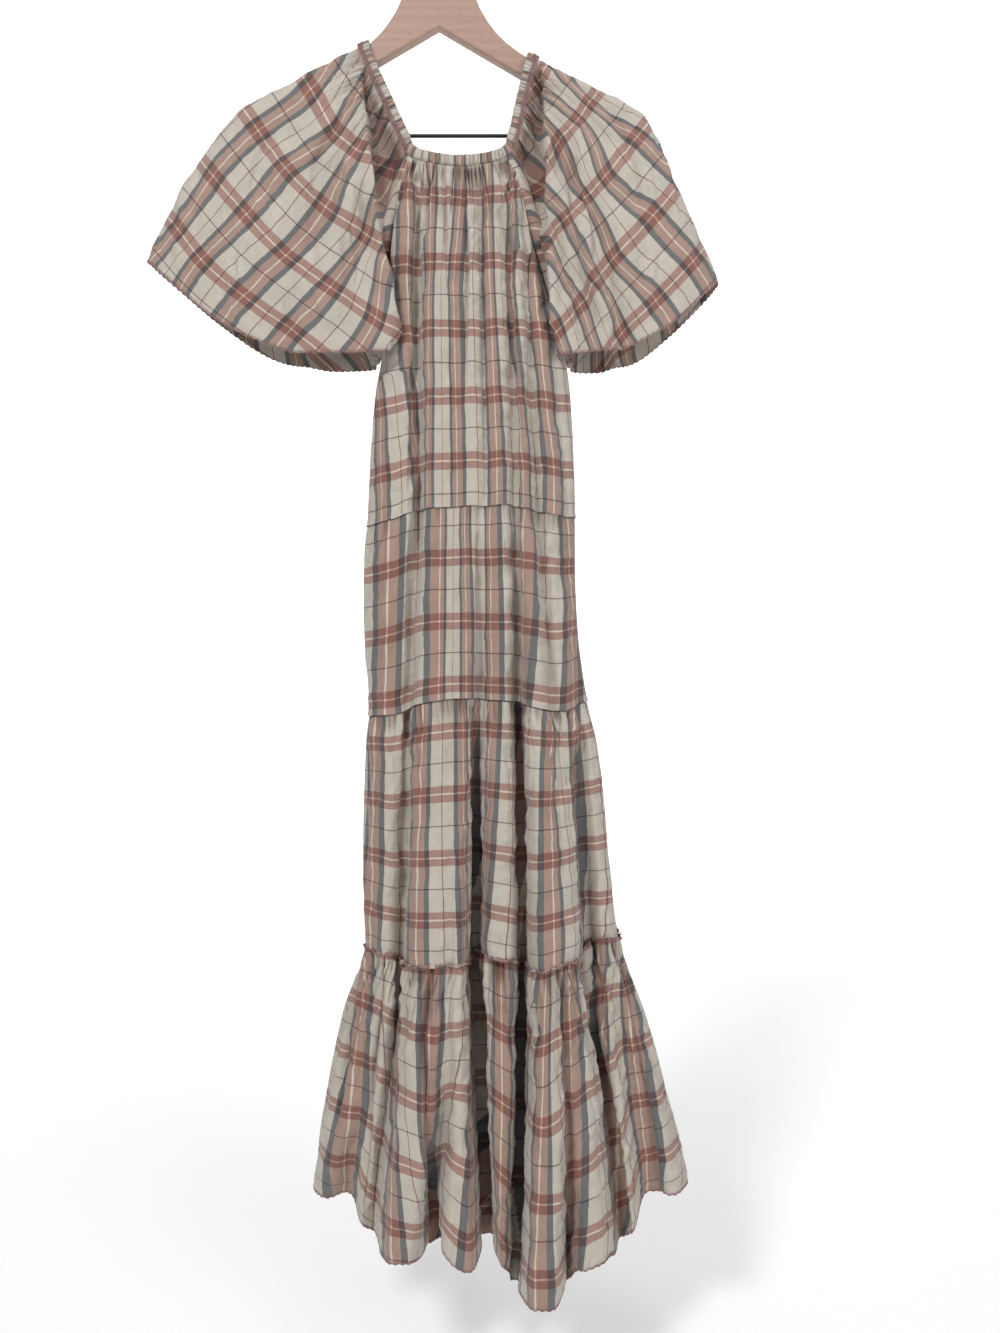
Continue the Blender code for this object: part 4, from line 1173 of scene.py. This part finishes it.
def neck_casing():
    """A closed band with a rounded section, its cloth squeezed into small folds."""
    centre, across, out = neck_ring(CASING_STEPS)
    distance = along_line(centre) / MM
    turns = np.linspace(0, 2 * math.pi, CASING_ROUND + 1)
    u, v = np.broadcast_arrays(distance[:, None], turns[None] * CASING_WIDTH / math.pi)
    leaned = u + RUCHE_LEAN * np.sin(v / RUCHE_LEAN_OVER)
    ruche = RUCHE_REST - creased(cloth_noise(leaned, v, *RUCHE_WAVE, 41), RUCHE_SHARPNESS)
    ruche += PUFF_SHARE * cloth_noise(leaned, v, *PUFF_WAVE, 42)
    ruche *= ease(np.minimum(distance, distance[-1] - distance) / CASING_ENDS)[:, None]
    ruche[:, -1] = ruche[:, 0]
    wide = rounded(np.cos(turns)) * (CASING_WIDTH / 2 + PUFF_WIDER * ruche)
    thick = rounded(np.sin(turns)) * (CASING_THICKNESS / 2 + RUCHE_DEPTH * ruche)
    points = centre[:, None] + (across[:, None] * wide[..., None] + out[:, None] * thick[..., None]) * MM
    band = distance[np.argmin(np.abs(centre[: CASING_STEPS // 2, 0] / MM - CASING_BAND_AT))]
    lengthwise = (np.append(distance, distance[-1]) - band) * CASING_FULLNESS
    u, v = np.broadcast_arrays(lengthwise[:, None], v[:1] + WEFT_REPEAT * CASING_WEFT_AT)
    # The casing's painted shade is deepest in the ruche's folds.
    closed, painted_shade = (np.concatenate([grid, grid[:1]]) for grid in (points, np.clip(-ruche, 0, 1)))
    return closed, np.stack([u * MM, v * MM, painted_shade], axis=2)


casing = sheet_object("neck_casing_cloth", *neck_casing(), plaid_cotton)
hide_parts("neck_casing")
print("casing in mm round the neck:", round(along_line(neck_ring(CASING_STEPS)[0])[-1] / MM))

# %% [markdown]
# ## Threads
# Hems and seams are sewn with a rose thread, twisted and a little uneven in colour. Real
# threads catch the light one by one, so they are modelled and not painted on the cloth.

# %% Thread material
THREAD_DARK, THREAD_LIGHT = (0.19, 0.075, 0.08), (0.44, 0.25, 0.235)
THREAD_TINTS, THREAD_TWIST = (350.0, 2.0), (2400.0, 1.0)
THREAD_ROUGHNESS, THREAD_BUMP, THREAD_SHEEN = (0.3, 0.5), (0.6, 0.0002), 0.3


def thread_material():
    made, tree, shader = new_material("rose_thread")
    place = object_place(tree)
    uneven = noise(tree, place, *THREAD_TINTS)
    inputs = {
        "Base Color": ramp(tree, uneven, THREAD_DARK, THREAD_LIGHT),
        "Roughness": scaled(tree, uneven, *THREAD_ROUGHNESS),
        "Normal": bump(tree, noise(tree, place, *THREAD_TWIST), *THREAD_BUMP),
        "Sheen Weight": THREAD_SHEEN,
    }
    set_inputs(tree, shader, inputs)
    return made


rose_thread = thread_material()
print("thread:", rose_thread.name)

# %% [markdown]
# Thousands of stitches are too many to place by hand. One Geometry Nodes tree lays them along any
# line: it cuts the line into even steps, puts a small thread on each, and turns it a little.

# %% A node tree for stitches
FACING = "facing"
THREAD_SEGMENTS, THREAD_RINGS = 5, 3


def stitch_tree():
    """Stitches along the edges of a mesh line, whose points know which way the cloth faces."""
    tree = bpy.data.node_groups.new("stitches", "GeometryNodeTree")
    sockets = [("Line", "Geometry")]
    sockets += [(label, "Float") for label in ("Spacing", "Length", "Radius", "Tilt", "Uneven")]
    for label, kind in (*sockets, ("Seed", "Int"), ("Thread", "Material")):
        tree.interface.new_socket(label, in_out="INPUT", socket_type="NodeSocket" + kind)
    tree.interface.new_socket("Stitches", in_out="OUTPUT", socket_type="NodeSocketGeometry")
    given = tree.nodes.new("NodeGroupInput").outputs
    out = tree.nodes.new("NodeGroupOutput").inputs

    def made(kind, inputs=(), **settings):
        return node(tree, kind, inputs, **settings).outputs[0]

    curve = made("GeometryNodeMeshToCurve", {"Mesh": given["Line"]})
    every = {"Curve": curve, "Length": given["Spacing"]}
    steps = made("GeometryNodeResampleCurve", every, mode="LENGTH")
    round_ball = {"Segments": THREAD_SEGMENTS, "Rings": THREAD_RINGS, "Radius": 1.0}
    ball = made("GeometryNodeMeshUVSphere", round_ball)
    half = calculate(tree, "MULTIPLY", given["Length"], 0.5)
    size = made("ShaderNodeCombineXYZ", {0: half, 1: given["Radius"], 2: given["Radius"]})
    thread = made("GeometryNodeTransform", {"Geometry": ball, "Scale": size})
    lie = made("FunctionNodeAlignRotationToVector", {"Vector": made("GeometryNodeInputTangent")}, axis="X")
    facing = made("GeometryNodeInputNamedAttribute", {"Name": FACING}, data_type="FLOAT_VECTOR")
    face = {"Rotation": lie, "Vector": facing}
    face = made("FunctionNodeAlignRotationToVector", face, axis="Z", pivot_axis="X")
    low = calculate(tree, "SUBTRACT", given["Tilt"], given["Uneven"])
    high = calculate(tree, "ADD", given["Tilt"], given["Uneven"])
    limits = {"Min": low, "Max": high, "Seed": given["Seed"]}
    turn = node(tree, "FunctionNodeRandomValue", limits, data_type="FLOAT").outputs["Value"]
    tilt = made("FunctionNodeAxisAngleToRotation", {"Axis": (0, 0, 1), "Angle": turn})
    turned = {"Rotation": face, "Rotate By": tilt}
    turned = made("FunctionNodeRotateRotation", turned, rotation_space="LOCAL")
    copies = {"Points": steps, "Instance": thread, "Rotation": turned}
    real = made("GeometryNodeRealizeInstances", {"Geometry": made("GeometryNodeInstanceOnPoints", copies)})
    finished = made("GeometryNodeSetMaterial", {"Geometry": real, "Material": given["Thread"]})
    tree.links.new(finished, out["Stitches"])
    return tree


STITCHES = stitch_tree()
Thread = namedtuple("Thread", "spacing length radius tilt uneven")
OVERLOCK = Thread(1.7, 3.2, 0.28, 62, 12)
NECK_STITCH = Thread(1.7, 3.0, 0.42, 56, 34)
EDGE_CORD = Thread(1.4, 2.2, 0.42, 14, 10)
RUN, FINE_RUN = Thread(2.6, 2.3, 0.42, 4, 10), Thread(2.2, 1.5, 0.26, 0, 25)


# %% [markdown]
# The tree runs as a modifier on a line of points, and its result is kept as a plain mesh.

# %% Stitching along lines
def stitched(name, lines, facings, kind, seed):
    """Stitches along lines of points in metres, as a piece of their own."""
    mesh = bpy.data.meshes.new(name + "_line")
    edges, start = [], 0
    for line in lines:
        edges += [(start + k, start + k + 1) for k in range(len(line) - 1)]
        start += len(line)
    mesh.from_pydata([tuple(p) for p in np.vstack(lines)], edges, [])
    faces = mesh.attributes.new(FACING, "FLOAT_VECTOR", "POINT")
    faces.data.foreach_set("vector", np.vstack(facings).reshape(-1))
    guide = add_object(name + "_line", mesh)
    rows = guide.modifiers.new("stitches", "NODES")
    rows.node_group = STITCHES
    values = {
        "Spacing": kind.spacing * MM,
        "Length": kind.length * MM,
        "Radius": kind.radius * MM,
        "Tilt": math.radians(kind.tilt),
        "Uneven": math.radians(kind.uneven),
        "Seed": seed,
        "Thread": rose_thread,
    }
    for socket in STITCHES.interface.items_tree:
        if socket.in_out == "INPUT" and socket.name in values:
            rows[socket.identifier] = values[socket.name]
    bpy.context.view_layer.update()
    graph = bpy.context.evaluated_depsgraph_get()
    plain = bpy.data.meshes.new_from_object(guide.evaluated_get(graph))
    bpy.data.objects.remove(guide, do_unlink=True)
    plain.shade_smooth()
    made = add_object(name, plain)
    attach(made, "root")
    print(name, "triangles:", sum(len(face.vertices) - 2 for face in plain.polygons))
    return made


# %% [markdown]
# ## Hems, seams and the flounce's heading
# Each hem has a cord of thread on its edge and slanted stitches over it. The flounce is sewn
# on with its gathered edge left standing up as a small ruffle.

# %% Hems
HEM_UP, THREAD_OUT = 1.3, 0.35
Hem = namedtuple("Hem", "panel facing seed")
HEMS = table(
    Hem, ("flounce_front", -1, 1), ("flounce_back", 1, 3), ("sleeve_left", 1, 5), ("sleeve_right", -1, 5)
)


def edge_of(name, facing, row):
    """A panel's edge, its outward side and the way down the cloth, from its grid of points."""
    points = panels[name][1]
    step = points[-1] - points[-2] if row == -1 else points[1] - points[0]
    down = step / np.linalg.norm(step, axis=1, keepdims=True)
    return points[row], surface_normals(points, facing)[row], down


def hem_threads(hem):
    edge, out, down = edge_of(hem.panel, hem.facing, -1)
    over = edge + out * THREAD_OUT * MM - down * HEM_UP * MM
    return [
        stitched(f"{hem.panel}_hem_cord", [edge], [out], EDGE_CORD, hem.seed),
        stitched(f"{hem.panel}_hem_overlock", [over], [out], OVERLOCK, hem.seed + 1),
    ]


trims = {hem.panel: hem_threads(hem) for hem in HEMS}

# %% [markdown]
# One fine row holds the casing all round. On the shoulders the photo shows it sewn down with
# several dense rows of red thread, so four rows of slanted stitches lie there.

# %% Casing stitches
SHOULDERS = (-27, 71)
StitchRow = namedtuple("StitchRow", "place lift")
STITCH_ROWS = table(StitchRow, (0.44, 0.9), (0.60, 1.3), (0.33, 1.1), (0.22, 1.3))
SWAY, SWAY_WAVE = 0.6, (9, 1)


def casing_stitches():
    """A fine row right round the casing, and four rows of slanted stitches on the shoulders."""
    centre, across, out = neck_ring(CASING_STEPS)
    sway = SWAY * cloth_noise(along_line(centre) / MM, 0 * centre[:, 0], *SWAY_WAVE, 81)[:, None]
    rows = [
        centre + (across * (CASING_WIDTH * row.place + sway) + out * (CASING_THICKNESS / 2 + row.lift)) * MM
        for row in STITCH_ROWS
    ]
    on_shoulders = (centre[:, 0] < SHOULDERS[0] * MM) | (centre[:, 0] > SHOULDERS[1] * MM)
    runs = np.split(np.arange(len(centre)), np.flatnonzero(np.diff(on_shoulders)) + 1)
    runs = [run for run in runs if on_shoulders[run[0]]]
    lines, facings = ([line[run] for line in grid for run in runs] for grid in (rows, [out] * len(rows)))
    return [
        stitched("casing_seam", [rows[0][:-1]], [out[:-1]], FINE_RUN, 9),
        stitched("shoulder_stitches", lines, facings, NECK_STITCH, 10),
    ]


trims["bodice_front"] = [casing, *casing_stitches()]

# %% [markdown]
# The flounce was gathered a little below its raw edge, which stands up over the seam as a ruffle.
# A narrow sheet rises from the flounce's top row and leans out in waves.

# %% Flounce heading
HEADING_UP, HEADING_OUT, HEADING_ROWS, HEADING_FINER = 3.2, 1.8, 6, 3
HEADING_WAVE, HEADING_SWING, HEADING_LEAN, HEADING_BASE = (2.2, 9), 1.4, (0.6, 0.5, 1.5), 0.8
HEADING_UNEVEN, HEADING_UNEVEN_WAVE, SEAM_OUT = 0.15, 5, 1.3


def flounce_heading(word, facing):
    """The gathered edge that stands up above the flounce's seam, and its two rows of thread."""
    edge, out, _ = edge_of(f"flounce_{word}", facing, 0)
    weave = panels[f"flounce_{word}"][2][0]
    fine = np.linspace(0, len(edge) - 1, HEADING_FINER * len(edge))
    line, out, weave = (
        np.stack([np.interp(fine, np.arange(len(edge)), values) for values in grid.T], axis=1)
        for grid in (edge, out, weave)
    )
    along = along_line(line) / MM
    short, long, uneven = (
        cloth_noise(along, 0 * along, cell, 1, seed)
        for cell, seed in ((HEADING_WAVE[0], 71), (HEADING_WAVE[1], 72), (HEADING_UNEVEN_WAVE, 73))
    )
    wave = short + long
    least, swing, curl = HEADING_LEAN
    grid, places = [], []
    for up in np.linspace(0, 1, HEADING_ROWS):
        rise = HEADING_UP * up * (1 + HEADING_UNEVEN * uneven)
        stand = HEADING_BASE + HEADING_OUT * up**curl * (least + swing * wave) + wave * up * HEADING_SWING
        grid.append(line + (rise[:, None] * (0, 0, 1) + out * stand[:, None]) * MM)
        places.append(weave - np.array([0, up * HEADING_UP * MM, 0]))
    made = sheet_object(f"flounce_{word}_heading", np.array(grid), np.array(places), plaid_cotton)
    return [
        made,
        stitched(f"flounce_{word}_heading_cord", [grid[-1]], [out], EDGE_CORD, 11),
        stitched(f"flounce_{word}_seam", [line + out * SEAM_OUT * MM], [out], RUN, 13),
    ]


for word, side in SIDES.items():
    trims[f"flounce_{word}"] += flounce_heading(word, -side)
print("trims:", sum(len(pieces) for pieces in trims.values()))

# %% [markdown]
# ## The hanger
# Its three solids have the right shapes already, so they only get better materials: varnished
# beech with grain along the arms, black coated wire for the bar, and steel wire for the hook.

# %% Hanger materials
GRAIN_STRETCH, PORE_STRETCH = (1.0, 6.0, 9.0), (60, 900, 900)
RINGS = {"Scale": 3.2, "Distortion": 5.0, "Detail": 3.0, "Detail Scale": 1.6}
RING_SHARE, DRIFT_SHARE, PORES_ABOVE = 0.55, 0.6, 0.66
BEECH_DARK, BEECH_LIGHT, BEECH_ENDS = (0.37, 0.225, 0.17), (0.395, 0.265, 0.205), (0.1, 0.8)
PORE_COLOUR, PORE_NOISE, DRIFT_NOISE = (0.30, 0.19, 0.14, 1), (1.0, 2.0), (6.0, 3.0)
WOOD_ROUGHNESS, WOOD_BUMP = (0.3, 0.3), (0.25, 0.0002)
GLOSS_CHANGE, GLOSS_SHARE, GLOSS_BUMP, CLOUD_DETAIL = (0.85, 1.15), 0.2, (0.15, 0.0001), 4.0


def wood_material():
    """Pale beech with long, slightly wavy grain, small pores and a satin varnish."""
    made, tree, shader = new_material("beech")
    place = object_place(tree)
    along = stretched(tree, place, GRAIN_STRETCH)
    rings = node(tree, "ShaderNodeTexWave", {"Vector": along, **RINGS}, bands_direction="Z")
    grain = calculate(tree, "MULTIPLY", rings.outputs["Fac"], RING_SHARE)
    shade = scaled(tree, noise(tree, along, *DRIFT_NOISE), DRIFT_SHARE, grain)
    flecks = noise(tree, stretched(tree, place, PORE_STRETCH), *PORE_NOISE)
    pores = calculate(tree, "GREATER_THAN", flecks, PORES_ABOVE)
    colour = ramp(tree, shade, BEECH_DARK, BEECH_LIGHT, BEECH_ENDS)
    inputs = {
        "Base Color": mixed(tree, colour, PORE_COLOUR, pores, "MIX"),
        "Roughness": scaled(tree, flecks, *WOOD_ROUGHNESS),
        "Normal": bump(tree, flecks, *WOOD_BUMP),
    }
    set_inputs(tree, shader, inputs)
    return made


def smooth_material(name, colour, metallic, roughness, scale):
    """Metal or coating whose gloss varies a little over the surface."""
    made, tree, shader = new_material(name)
    cloud = noise(tree, object_place(tree), scale, CLOUD_DETAIL)
    dark, light = ([c * factor for c in colour] for factor in GLOSS_CHANGE)
    inputs = {
        "Metallic": metallic,
        "Base Color": ramp(tree, cloud, dark, light),
        "Roughness": scaled(tree, cloud, GLOSS_SHARE, roughness - GLOSS_SHARE / 2),
        "Normal": bump(tree, cloud, *GLOSS_BUMP),
    }
    set_inputs(tree, shader, inputs)
    return made


HANGER_FINISHES = {
    "hanger_wood": wood_material(),
    "hanger_bar": smooth_material(
        "black_coating", (0.015, 0.015, 0.016), metallic=0.0, roughness=0.45, scale=300
    ),
    "hanger_hook": smooth_material(
        "steel_wire", (0.62, 0.62, 0.63), metallic=1.0, roughness=0.25, scale=180
    ),
}
for name, finish in HANGER_FINISHES.items():
    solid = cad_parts[name]
    solid.data.materials.clear()
    solid.data.materials.append(finish)
print("hanger finishes:", ", ".join(finish.name for finish in HANGER_FINISHES.values()))

# %% [markdown]
# ## Size of the cloth
# The cut areas of both sides of every tier and of both sleeves are summed. Gathering makes a panel narrower
# than its cut.

# %% Cloth sizes
for tier in TIERS:
    for word in ("front", "back"):
        name = f"{tier.name}_{word}"
cut_area = 2 * (sum(tier.cut_area for tier in TIERS) + SLEEVE_CUT_AREA)
print("cut area in square metres:", round(cut_area, 2))
